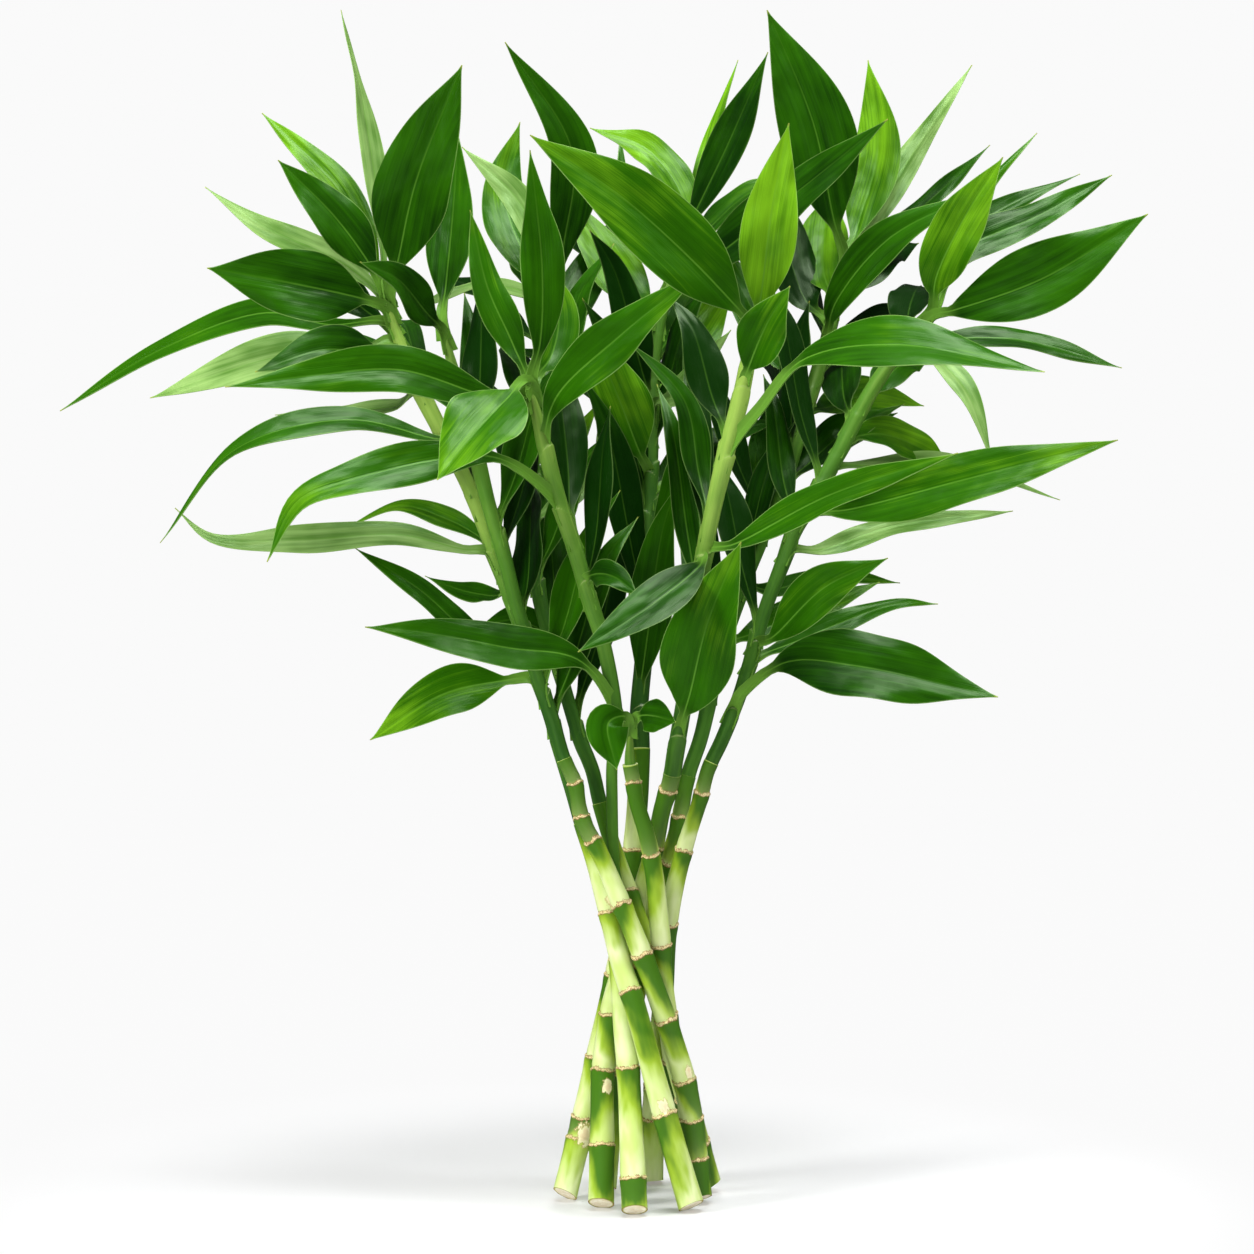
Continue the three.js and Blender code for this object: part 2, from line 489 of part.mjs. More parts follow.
// The sections of a leaf { at, wide, face, half, thick }, from q in its root to its tip
function leafSections(leaf, stalk, bend, from) {
  const curve = ribCurve(leaf, stalk, bend);
  const length = curve.getLength();
  const stem = leaf.petiole / length;
  const ends = [0].concat(leaf.steps.map((q) => stem + (1 - stem) * q));
  const chord = curve.getPoint(1).sub(curve.getPoint(0)).normalize();
  const front = new THREE.Vector3(0, -1, 0);
  const sense = new THREE.Vector3().crossVectors(chord, front).z >= 0 ? 1 : -1;
  return ends.filter((s) => s >= from).map((s) => {
    const t = Math.min(s, 1);
    const at = curve.getPointAt(t);
    const along = curve.getTangentAt(t);
    const view = front.clone().addScaledVector(along, -front.dot(along)).normalize();
    const rise = new THREE.Vector3().crossVectors(along, view).multiplyScalar(sense);
    const turn = THREE.MathUtils.degToRad(leaf.turn[0] + (leaf.turn[1] - leaf.turn[0]) * t);
    const face = view.multiplyScalar(Math.cos(turn)).addScaledVector(rise, Math.sin(turn));
    const wide = new THREE.Vector3().crossVectors(along, face);
    const q = (t - stem) / (1 - stem);
    const blade = q < 0 ? 0 : leaf.width * outline(q);
    const least = THREE.MathUtils.lerp(PETIOLE_WIDE, TIP_WIDE, THREE.MathUtils.clamp(q, 0, 1));
    const thinned = THREE.MathUtils.clamp(SETTLE_BY[0] + q * SETTLE_BY[1], 0, 1);
    const thick = THREE.MathUtils.lerp(PETIOLE_THICK, BLADE_THICK, thinned);
    const swing = Math.sin(leaf.phase + q * WAVE_TURNS) * Math.sin(Math.PI * q);
    const ripple = q <= 0 || q >= 1 ? 0 : WAVE * swing;
    return { at, along, wide, face, half: Math.max(blade, least) / 2, thick, ripple };
  });
}

// A leaf as a closed thin solid, grown by `extra` all round. Both faces are split alike.
function leafGeometry(sections, extra) {
  const points = [];
  sections.forEach((s, n) => {
    const half = s.half + extra;
    const lift = FOLD * s.half;
    const end = n === sections.length - 1 ? extra : 0;
    const put = (w, f) => {
      const p = s.at.clone().addScaledVector(s.wide, w).addScaledVector(s.face, f);
      points.push(p.addScaledVector(s.along, end));
    };
    const skin = s.thick / 2 + extra;
    put(-half, lift + s.ripple + skin);
    put(0, skin);
    put(half, lift - s.ripple + skin);
    put(half, lift - s.ripple - skin);
    put(0, -skin);
    put(-half, lift + s.ripple - skin);
  });
  const index = [0, 5, 4, 0, 4, 1, 1, 4, 3, 1, 3, 2];
  const strip = [
    [0, 1, 7], [0, 7, 6], [1, 2, 7], [2, 8, 7], [2, 3, 9], [2, 9, 8],
    [4, 10, 3], [3, 10, 9], [5, 10, 4], [5, 11, 10], [5, 0, 6], [5, 6, 11],
  ];
  for (let n = 0; n < sections.length - 1; n += 1) {
    strip.forEach((t) => index.push(t[0] + n * 6, t[1] + n * 6, t[2] + n * 6));
  }
  const last = (sections.length - 1) * 6;
  [0, 4, 5, 0, 1, 4, 1, 3, 4, 1, 2, 3].forEach((k) => index.push(k + last));
  const geometry = new THREE.BufferGeometry().setFromPoints(points);
  geometry.setIndex(index);
  return geometry;
}

// Fill leaves, fanned about a heading and arching out
function fillLeaves(stalks) {
  const leaves = [];
  FILLS.forEach(([name, count, low, high, heading, fan, far, up]) => {
    for (let n = 0; n < count; n += 1) {
      const root = low + ((high - low) * (n + draw(0.2, 0.8))) / count;
      const base = stalkAt(stalks[name], root);
      const turn = THREE.MathUtils.degToRad(heading + ((n % 2) * 2 - 1) * draw(0.1, 0.5) * fan);
      const reach = far * draw(...FILL_VARY);
      const rise = up * draw(...FILL_VARY);
      const out = [[0.25, 0.4], [0.6, 0.8], [1, 1]].map(([along, above]) => {
        const x = base.x + Math.cos(turn) * reach * along;
        const y = base.y + Math.sin(turn) * reach * along;
        return asSeen(new THREE.Vector3(x, y, base.z + rise * above));
      });
      leaves.push([name, root, draw(...FILL_WIDE), draw(...FILL_TURN), ...out]);
    }
  });
  return leaves;
}

function readLeaf([name, root, size, turn, ...points], n) {
  const turns = Array.isArray(turn) ? turn : [turn, turn];
  const steps = n < LEAVES.length ? BLADE_STEPS : FILL_STEPS;
  const width = Array.isArray(size) ? size[0] : size;
  const petiole = Array.isArray(size) ? size[1] : PETIOLE_LEAST + width * PETIOLE_SHARE;
  const fill = n >= LEAVES.length;
  return { name, root, width, turn: turns, points, steps, petiole, phase: n * WAVE_LAG, fill };
}

// Grows every leaf where it is clear of the other stalks' leaves and of its own stalk's blades,
// bending it in depth until it is. A fill leaf that finds no room is left out.
function growLeaves(stalks, stems, leaves) {
  const grown = [];
  const meets = (a, b) => [0, 1, 2].every((k) => a.box.min[k] < b.box.max[k] && b.box.min[k] < a.box.max[k]);
  const wrap = (body, name) => ({ body, name, box: body.boundingBox() });
  const overlap = (a, list) => list.reduce(
    (sum, b) => sum + (meets(a, b) ? a.body.intersect(b.body).volume() : 0), 0);
  leaves.forEach((leaf) => {
    const stalk = stalks[leaf.name];
    let best = null;
    for (const bend of leaf.fill ? FILL_BENDS : BENDS) {
      const sections = leafSections(leaf, stalk, bend, 0);
      const outer = leafSections(leaf, stalk, bend, OUTER_PART);
      const whole = wrap(solid(leafGeometry(sections, CLEAR / 2)), leaf.name);
      const tipward = wrap(solid(leafGeometry(outer, 0)), leaf.name);
      const others = stems.concat(grown.map((g) => g.whole)).filter((o) => o.name !== leaf.name);
      const own = stems.filter((o) => o.name === leaf.name);
      const mates = own.concat(grown.filter((g) => g.whole.name === leaf.name).map((g) => g.tipward));
      const bent = Math.abs(bend) * BEND_COST;
      const cost = overlap(whole, others) * MEET_COST + overlap(tipward, mates) + bent;
      if (best === null || cost < best.cost) best = { cost, sections, tipward };
      if (cost < ROOM_COST) break;
    }
    if (leaf.fill && best.cost > ROOM_COST) return;
    const body = solid(leafGeometry(best.sections, 0));
    grown.push({ leaf, body, whole: wrap(body, leaf.name), tipward: best.tipward });
  });
  return grown;
}

const stalks = {};
Object.entries(STALKS).forEach(([name, s]) => {
  stalks[name] = { girth: GIRTH, ...s, ...readPath(s.path) };
});
settle(stalks);

const canes = {};
const shoots = {};
const stems = [];
Object.entries(stalks).forEach(([name, stalk]) => {
  canes[name] = makeCane(stalk);
  shoots[name] = solid(stalkBar(stalk, stalk.seam + SEAM_GAP / 2, stalk.top, SHOOT_STEP, []));
  [canes[name], shoots[name]].forEach((body) => stems.push({ body, name, box: body.boundingBox() }));
});
const leaves = LEAVES.concat(fillLeaves(stalks)).map(readLeaf);
growLeaves(stalks, stems, leaves).forEach(({ leaf, body }) => {
  shoots[leaf.name] = shoots[leaf.name].add(body);
});

const bunch = new THREE.Group();
Object.keys(stalks).forEach((name) => {
  const cane = new THREE.Mesh(fromSolid(canes[name]), CANE_GREEN.clone());
  cane.name = `cane_${name}`;
  const shoot = new THREE.Mesh(fromSolid(shoots[name]), LEAF_GREEN.clone());
  shoot.name = `leafy_shoot_${name}`;
  bunch.add(cane, shoot);
});

// The origin is under the middle of the bunch
const group = new THREE.Group();
bunch.position.copy(MIDDLE).negate();
group.add(bunch);

export default group;
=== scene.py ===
# A bunch of nine lucky bamboo stalks: ringed canes crossed in a loose spiral, leafy shoots above
import math

import bpy
import numpy as np
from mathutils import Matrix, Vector, kdtree


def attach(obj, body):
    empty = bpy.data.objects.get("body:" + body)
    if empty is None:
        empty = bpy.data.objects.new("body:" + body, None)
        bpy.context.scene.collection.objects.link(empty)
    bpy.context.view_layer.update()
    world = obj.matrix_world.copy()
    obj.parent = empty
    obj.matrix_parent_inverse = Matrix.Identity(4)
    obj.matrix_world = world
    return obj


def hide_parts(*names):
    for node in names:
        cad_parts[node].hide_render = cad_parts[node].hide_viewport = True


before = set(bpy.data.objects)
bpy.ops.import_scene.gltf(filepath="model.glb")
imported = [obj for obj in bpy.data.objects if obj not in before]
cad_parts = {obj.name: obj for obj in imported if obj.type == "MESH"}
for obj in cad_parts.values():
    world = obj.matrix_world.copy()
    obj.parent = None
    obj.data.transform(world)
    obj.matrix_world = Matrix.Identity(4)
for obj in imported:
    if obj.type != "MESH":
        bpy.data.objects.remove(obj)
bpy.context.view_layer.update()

# Millimetres, as the solids are laid out. Meshes are written in metres.
MM = 0.001
EYE = np.array([-6.5, -1300.0, 287.5])
MIDDLE = np.array([-20.3, 19.6, 0.0])
PHOTO_WIDE = 627.0

# Stalks
RING_RISE = 0.45
LEVEL = 6
LEAN_GAP = 0.45
FLAT_SHARE = 0.975
SETTLE_ROUNDS = 400
SETTLE_BLEND = 0.5
CUT_SLANT = 0.5
CUT_CENTRE = np.array([0.0, 75.0])
FOOT_FLAT = 0.5
FOOT_STUB = 14

# Leaves
BLADE_THICK = 0.8
PETIOLE_WIDE = 5.2
PETIOLE_THICK = 2.4
TIP_WIDE = 1.4
WIDEST_AT = 0.4
FOLD = 0.2
WAVE = 1.2
WAVE_TURNS = 9
WAVE_LAG = 2.4
BASE_SHAPE = 1.05
END_SHAPE = 1.15
PETIOLE_LEAST = 8
PETIOLE_SHARE = 0.4
ROOT_RISE = 7
ROOT_RISE_SHARE = 0.3
ROOT_OUT = 3
BENDS = [0, -8, 8, -16, 16, -24, 24, -34, 34, -46, 46, -60, 60]
FILL_BENDS = [0, 8, 16, 24, 34, 46, 60]
MISS = 0.00001

# Half thickness of an ordinary stalk at a height: [height, radius]
GIRTH = [
    [-20, 6.9], [30, 6.3], [75, 5.6], [125, 5.2], [155, 4.9], [180, 4.3], [205, 3.9],
    [256, 3.6], [330, 3.8], [400, 4.2], [440, 3.4], [490, 2.4],
]

# Each stalk: the height where its cane ends and its shoot begins, the heights of its rings, and its
# line from the foot up as seen from EYE: [x, height, depth]
STALKS = {
    "a": {
        "seam": 227,
        "girth": [
            [-20, 6.8], [75, 5.7], [130, 5.3], [160, 5.2], [205, 5.6], [240, 5], [330, 4.2], [400, 4],
            [480, 2.4],
        ],
        "rings": [32, 42, 72, 113, 176],
        "path": [
            [-38.5, 0, 2], [-28.3, 42, 5], [-21.7, 72, 8], [-12.7, 112, 12], [-7, 143, 15],
            [-4, 171, 17], [-2, 190, 19], [-1, 204, 20], [0, 228, 23], [-0.5, 244, 25], [2.5, 281, 30],
            [4, 321, 36], [5, 361, 42], [6, 401, 47], [8, 430, 50], [12.5, 451, 52], [19, 474, 53],
        ],
    },
    "b": {
        "seam": 214,
        "girth": [
            [-20, 6.9], [75, 5.7], [125, 5.2], [155, 5], [180, 4.6], [205, 4.6], [256, 4.3], [330, 4.2],
            [400, 4.4], [442, 3.4],
        ],
        "rings": [29, 66, 93, 140, 178, 206],
        "path": [
            [-19.5, -4, -18], [-19, 29.5, -14], [-18.5, 66.5, -8], [-15, 93.5, -3], [-11.5, 108.5, 0],
            [-4, 136, 4], [2.5, 161, 3], [7.5, 178.5, 0], [11, 196, -4], [15.5, 211, -8],
            [18, 226, -12], [23, 256, -20], [27.5, 291, -29], [31.5, 321, -37], [36.5, 346, -44],
            [43.5, 376, -52], [50, 401, -58], [55, 426, -64], [58.5, 442, -67],
        ],
    },
    "c": {
        "seam": 160,
        "girth": [
            [-20, 6.8], [75, 5.6], [125, 4.9], [158, 4.1], [166, 3.2], [220, 3.1], [245, 3.9], [330, 4],
            [400, 4], [408, 3.4],
        ],
        "rings": [12.5, 67, 121],
        "path": [
            [-2.5, -7.5, -33], [-3.5, 13.5, -31], [-6, 67, -24], [-8, 86, -20], [-10.5, 121, -13],
            [-12, 151, -9], [-13.5, 176, -8], [-14, 201, -9], [-14, 218.5, -10], [-12, 240, -13],
            [-18.5, 280, -20], [-26, 303, -25], [-31, 321, -29], [-39, 346, -35], [-46, 371, -41],
            [-51, 391, -46], [-54, 405, -50],
        ],
    },
    "d": {
        "seam": 220,
        "rings": [43, 58, 139.5, 176, 204.5],
        "path": [
            [5.5, 10, 45], [6.5, 42, 33], [11.5, 101, 13], [14, 139.5, 3], [22, 176, -2], [30, 201, -4],
            [34, 216, -5], [41, 231, -5], [49, 251, -4], [55, 270, -2], [62.5, 296, 1], [70, 316, 4],
            [77.5, 336, 8], [86, 351, 11], [100, 376, 16], [113, 401, 20], [124, 418, 22],
            [142.5, 440, 24],
        ],
    },
    "e": {
        "seam": 190,
        "rings": [44.5, 106, 145],
        "path": [
            [26.5, -5, -22], [12, 45, -26], [-3, 99.5, -24], [-10, 121, -19], [-15.8, 145, -12],
            [-23, 171, -9], [-28, 186, -8], [-34, 206, -8], [-40, 226, -8], [-47.5, 251, -8],
            [-57.5, 281, -9], [-70, 316, -12], [-85, 356, -16], [-105, 396, -20], [-118, 423, -23],
            [-126, 450, -26],
        ],
    },
    "f": {
        "seam": 221.5,
        "rings": [22, 42, 61.5, 91.5, 124, 149, 180.5, 192.5, 209.5],
        "path": [
            [30, -1, -4], [25.5, 42, -8], [22, 61.5, -12], [13, 91, -20], [1, 124, -25],
            [-9.5, 149.5, -24], [-20, 174, -22], [-26.5, 186, -21], [-30, 195, -20],
            [-32.5, 209.5, -20], [-38, 221.5, -20], [-43.5, 240, -20], [-50, 258, -20],
            [-56.5, 281, -22], [-62.5, 301, -24], [-67.5, 321, -26], [-75, 346, -28], [-82.5, 376, -31],
            [-91, 406, -34], [-97.5, 433, -36],
        ],
    },
    "g": {
        "seam": 219,
        "rings": [30.5, 52.5, 94, 128.5, 173.5, 210],
        "path": [
            [35.5, 5.6, 26], [28.5, 30.5, 15], [23.3, 52.5, 8], [18, 71, 3], [13, 96, -5],
            [11, 116, -11], [10.5, 129, -14], [9, 146, -17], [7.5, 161, -19], [3.5, 183, -22],
            [-2, 201, -24], [-3.5, 211, -25], [-5, 219, -26], [-5, 234, -28],
        ],
    },
    "h": {
        "seam": 199.5,
        "rings": [71, 111, 155],
        "path": [
            [24, 9, 42], [19, 50, 23], [14, 91, 5], [8, 113.5, -0.5], [0, 138.5, -5], [-10, 167, 0],
            [-20, 199.5, 4], [-24, 216.5, 5], [-30, 231, 7], [-37.5, 256, 10], [-45, 281, 14],
            [-51, 306, 19], [-54, 336, 26], [-54, 366, 34], [-51, 396, 42], [-47, 426, 49],
            [-43, 451, 54],
        ],
    },
    "r": {
        "seam": 213,
        "girth": [
            [-20, 6.7], [75, 5.6], [125, 5.2], [160, 4.9], [180, 4.6], [205, 4.1], [256, 3.9],
            [330, 3.9], [400, 4.1], [466, 3],
        ],
        "rings": [64.5, 118, 138.5, 169.5, 192.5],
        "path": [
            [-18, 6, 28], [-11, 71, 20], [-3, 101, 15], [1, 121, 12], [10, 153.5, 9], [13.5, 169.5, 8],
            [18, 183, 7], [24, 213, 8], [30, 231, 10], [36, 256, 14], [42.5, 281, 19], [52.5, 311, 26],
            [62.5, 336, 33], [72.5, 361, 40], [80, 386, 47], [87.5, 411, 54], [95, 436, 60],
            [102, 466, 66],
        ],
    },
}
# Each leaf: stalk, height of its root, width or [width, length of its stalk], turn about its rib in
# degrees or [at its root, at its tip], then places along its rib as seen from EYE: [x, height, depth]
LEAVES = [
    ["e", 441, 39, 10, [-121, 470, -36], [-112, 510, -50], [-89, 568.5, -66]],
    ["e", 446, 24, 15, [-136, 470, -30], [-153, 493, -36], [-181, 521, -42]],
    ["e", 438, 35, 5, [-137, 451, -38], [-170, 458.5, -54], [-216.5, 467, -62]],
    ["e", 448, 16, [50, 65], [-129, 480, -22], [-134, 521, -18], [-141, 560, -10], [-149.5, 596, -4]],
    ["e", 448, 20, 25, [-138, 480, -14], [-152, 508, -4], [-189, 544.5, 10]],
    ["e", 440, 17, 35, [-147.5, 468.5, -6], [-190, 488.5, 12], [-217.5, 507.5, 22]],
    ["e", 432, 17, 30, [-155, 438.5, -18], [-187.5, 444.5, -8], [-240, 426, 0], [-290, 395.5, 6]],
    ["e", 424, 27, [20, 40], [-140, 424, -34], [-178, 423, -44], [-245, 402, -50]],
    ["e", 418, 24, 20, [-132, 424, -40], [-158, 426, -58], [-192.5, 415, -70]],
    ["e", 398, 14, 55, [-122, 398, -4], [-145, 396, 12], [-182.5, 393.5, 30]],
    ["e", 318, 17, [25, 40], [-88, 326, -20], [-120, 333.5, -30], [-170, 331, -38], [-214, 332, -42],
      [-232.5, 347, -42]],
    ["e", 314, 14, 45, [-80, 332, -2], [-98, 342, 10], [-120, 348, 18], [-145, 338.5, 26]],
    ["e", 274, 15, 30, [-82, 283, -20], [-110, 306, -28], [-142.5, 327, -32]],
    ["e", 296, 12, 40, [-74, 303, 8], [-90, 306, 20], [-107.5, 313, 32]],
    ["e", 256, 26, 20, [-64, 261, -12], [-98, 254, -22], [-135, 231, -30]],
    ["f", 431, 24, 20, [-97, 458, -26], [-93, 500, -10], [-91, 535, 2]],
    ["f", 374, 17, [35, 55], [-100, 381, -42], [-145, 391, -58], [-202.5, 376, -74], [-240, 329.5, -86]],
    ["f", 425, 20, 30, [-108, 446, -60], [-122, 462, -88], [-140, 470, -112]],
    ["c", 396, 24, 15, [-72, 402, -60], [-120, 416, -82], [-165, 413, -94], [-207.5, 407.5, -104]],
    ["c", 340, [22, 45], 25, [-60, 366, -52], [-78, 373, -64], [-145, 361, -92], [-171, 350, -100],
      [-186.5, 320, -104]],
    ["c", 238, [25, 34], 30, [-31, 271, -34], [-66, 277, -52], [-110, 285, -66], [-137.5, 287.5, -74]],
    ["c", 402, 22, 20, [-50, 430, -56], [-49, 466, -62], [-55, 526, -68]],
    ["c", 399, 18, 15, [-65, 432, -46], [-76.5, 458, -44], [-85, 496, -42]],
    ["c", 400, 21, 15, [-44, 424, -34], [-41, 446, -26], [-53.5, 473, -20]],
    ["c", 403, 38, 25, [-66, 402, -74], [-82, 385, -92], [-101.5, 361, -106]],
    ["c", 370, 24, 15, [-42, 402, -58], [-10, 433, -76], [31, 466, -92]],
    ["c", 303, 15, 20, [-22, 314, -40], [-12, 312, -52], [-1, 303, -60]],
    ["h", 448, 25, 15, [-38, 480, 44], [-34, 525, 28], [-67.5, 580, 8]],
    ["h", 449, 18, 20, [-50, 478, 62], [-62, 502, 68], [-89, 527.5, 70]],
    ["h", 446, 29, 15, [-56, 470, 76], [-68, 506, 100], [-60, 540, 112]],
    ["h", 440, 12, 45, [-58, 455, 26], [-82, 458, 6], [-115, 446, -8]],
    ["h", 262, 17, 25, [-46, 283, 18], [-64, 291, 26], [-82.5, 286, 32]],
    ["h", 350, 16, 30, [-46, 364, 58], [-36, 376, 78], [-20, 401, 96]],
    ["h", 330, 12, 40, [-44, 346, 44], [-30, 356, 56], [-16, 378.5, 66]],
    ["h", 415, 26, 20, [-38, 442, 74], [-22, 470, 92], [-6, 500, 106]],
    ["a", 472, 21, 20, [45, 531, 42], [64, 575, 34]],
    ["a", 470, 22, 25, [22, 500, 62], [4, 526, 72], [-25, 537, 78]],
    ["a", 455, 13, 20, [2, 484, 84], [-8, 510, 104], [-10, 535, 116]],
    ["a", 472, 12, 40, [32, 515, 76], [40, 545, 88], [49, 571, 96]],
    ["a", 452, 27, 20, [34, 470, 34], [80, 506, 22], [124, 541.5, 12]],
    ["a", 356, 31, 10, [0, 374, 30], [-10, 400, 20], [-25, 436, 14]],
    ["a", 398, 27, 20, [18, 418, 66], [30, 436, 82], [47, 462, 98]],
    ["a", 390, 14, 30, [18, 404, 22], [30, 418, 8], [45.5, 436, -4]],
    ["a", 322, 24, 15, [12, 340, 62], [18, 362, 84], [22, 392, 104]],
    ["a", 340, 18, 25, [-2, 356, 62], [-14, 372, 84], [-20, 398, 106]],
    ["a", 430, 27, 20, [-4, 454, 74], [-22, 480, 88], [-40, 506, 98]],
    ["b", 426, 38, 12, [44, 452, -86], [-5, 499, -112], [-55, 533.5, -124]],
    ["b", 436, [27, 8], 0, [61, 457, -75], [66, 497, -84], [74.5, 539.5, -92]],
    ["b", 400, 24, 15, [56.5, 423, -74], [64, 440, -84], [75, 458, -92]],
    ["b", 366, [31, 62], [30, 45], [60, 396, -66], [82, 421, -82], [128, 428.5, -106], [202.5, 415, -128]],
    ["b", 318, 18, 25, [46.5, 328.5, -48], [95, 353.5, -62], [159, 374.5, -76]],
    ["b", 316, 23, 25, [30, 318, -54], [8, 300, -72], [-31, 275, -88]],
    ["b", 226, 37, 15, [25, 254, -36], [34, 290, -56], [50.5, 330, -70]],
    ["b", 330, 15, 20, [29, 366, -28], [22, 401, -22], [-5, 430, -20]],
    ["r", 430, 30, 20, [82, 452, 76], [74, 478, 90], [72, 506, 102]],
    ["r", 462, 41, 10, [97, 490, 58], [87, 538, 50], [63.5, 596, 44]],
    ["r", 464, 27, 15, [110, 492, 78], [119, 528, 90], [114, 571, 98]],
    ["r", 463, 17, 25, [114, 488, 92], [137.5, 526, 112], [166, 568.5, 126]],
    ["r", 458, 14, 35, [118, 478, 76], [142, 498, 80], [175, 528.5, 82]],
    ["r", 424, 22, 25, [98, 450, 32], [125, 482, 12], [172.5, 506, 0]],
    ["r", 440, 29, 15, [92, 464, 84], [92, 486, 108], [96, 506, 132]],
    ["r", 350, 21, 20, [64, 366, 70], [64, 384, 94], [67, 404, 118]],
    ["r", 270, 20, 25, [56, 284, 34], [88, 297, 48], [120, 310, 58]],
    ["r", 300, 13, 35, [66, 306, 46], [96, 313, 62], [130, 309.5, 74]],
    ["r", 386, 24, 30, [96, 398, 72], [118, 404, 98], [142, 398, 120]],
    ["r", 398, 26, 25, [68, 424, 76], [52, 454, 94], [34, 486, 108]],
    ["d", 438, 28, 20, [148, 462, 4], [161, 490, -10], [181.5, 522.5, -20]],
    ["d", 436, 36, 15, [158, 446, 6], [202, 462, -8], [254, 494, -16]],
    ["d", 439, 22, 25, [160, 474, 34], [200, 493.5, 44], [236, 513.5, 50]],
    ["d", 438, 15, 30, [158, 480, 54], [184, 498, 70], [220, 514, 82]],
    ["d", 438, 13, 35, [154, 478, 66], [176, 510, 90], [198.5, 534.5, 106]],
    ["d", 428, 17, 40, [150, 432, 28], [190, 431, 26], [241, 417, 22]],
    ["d", 424, 13, 35, [148, 422, -4], [164, 404, -18], [177.5, 366, -28]],
    ["d", 336, 31, 28, [104, 346, -8], [162, 361, -28], [239, 381, -42]],
    ["d", 372, 23, 30, [118, 384, 38], [138, 378, 56], [158.5, 365.5, 72]],
    ["d", 360, 13, 35, [120, 368, 44], [160, 368, 62], [210, 351, 78]],
    ["d", 318, 14, 35, [90, 326, 18], [128, 338, 24], [186.5, 345.5, 28]],
    ["d", 272, 24, 22, [66, 282, -14], [92, 307, -28], [124, 322, -36]],
    ["d", 262, 14, 30, [80, 281, 14], [128, 299, 22], [149, 299, 26]],
    ["d", 238, [37, 42], 25, [52, 255, -18], [74, 270, -30], [108, 268, -44], [179, 252.5, -58]],
    ["d", 345, 17, 30, [98, 352, 40], [108, 358, 60], [117, 368, 82]],
    ["g", 232, 21, 0, [-8, 243, -38], [-16, 239, -46], [-11.5, 216, -50]],
    ["g", 233, 17, 10, [0, 243, -36], [7, 243, -42], [18, 240, -46]],
]

# Fill leaves: stalk, count, lowest and highest root, heading and fan in degrees, reach, rise
FILLS = [
    ["a", 5, 340, 470, 90, 130, 90, 60],
    ["h", 5, 330, 448, 125, 100, 90, 60],
    ["r", 5, 340, 460, 70, 90, 90, 60],
    ["d", 4, 340, 436, 60, 60, 85, 50],
    ["e", 4, 340, 446, 125, 60, 85, 50],
    ["a", 6, 232, 400, 90, 300, 38, 115],
    ["h", 5, 215, 380, 80, 180, 38, 110],
    ["r", 5, 225, 380, 110, 180, 38, 110],
    ["d", 4, 232, 370, 120, 100, 40, 100],
    ["e", 4, 215, 360, 75, 100, 40, 100],
    ["f", 4, 232, 380, 70, 90, 38, 100],
    ["b", 4, 226, 380, 110, 90, 38, 100],
    ["c", 4, 200, 350, 90, 120, 38, 100],
]

# Seeded draws, the same for every run
FILL_SEED = 7
FILL_SPREAD = [0.2, 0.8]
FILL_SWING = [0.1, 0.5]
FILL_VARY = [0.75, 1.2]
FILL_WIDE = [15, 25]
FILL_TURN = [20, 55]
DRAW_STEP = 16807
DRAW_SPAN = 2147483647

# How a fill leaf arches: [share of its reach, share of its rise]
FILL_ARCH = [[0.25, 0.4], [0.6, 0.8], [1, 1]]

# The direction that the front of the bunch faces
FRONT = np.array([0.0, -1.0, 0.0])


class Draw:
    def __init__(self, seed):
        self.last = seed

    def between(self, low, high):
        self.last = (self.last * DRAW_STEP) % DRAW_SPAN
        return low + ((high - low) * self.last) / DRAW_SPAN


def unit(vectors):
    return vectors / np.linalg.norm(vectors, axis=-1, keepdims=True)


# A place given as seen from EYE, put at its depth
def seen(x, height, depth):
    grow = (depth - EYE[1]) / -EYE[1]
    return np.stack([EYE[0] + (x - EYE[0]) * grow, depth + 0 * grow, EYE[2] + (height - EYE[2]) * grow], -1)


# The same place as it is seen from EYE: x, height, depth
def as_seen(point):
    grow = (point[1] - EYE[1]) / -EYE[1]
    return [EYE[0] + (point[0] - EYE[0]) / grow, EYE[2] + (point[2] - EYE[2]) / grow, point[1]]


def value_at(table, heights):
    table = np.array(table, dtype=float)
    return np.interp(heights, table[:, 0], table[:, 1])


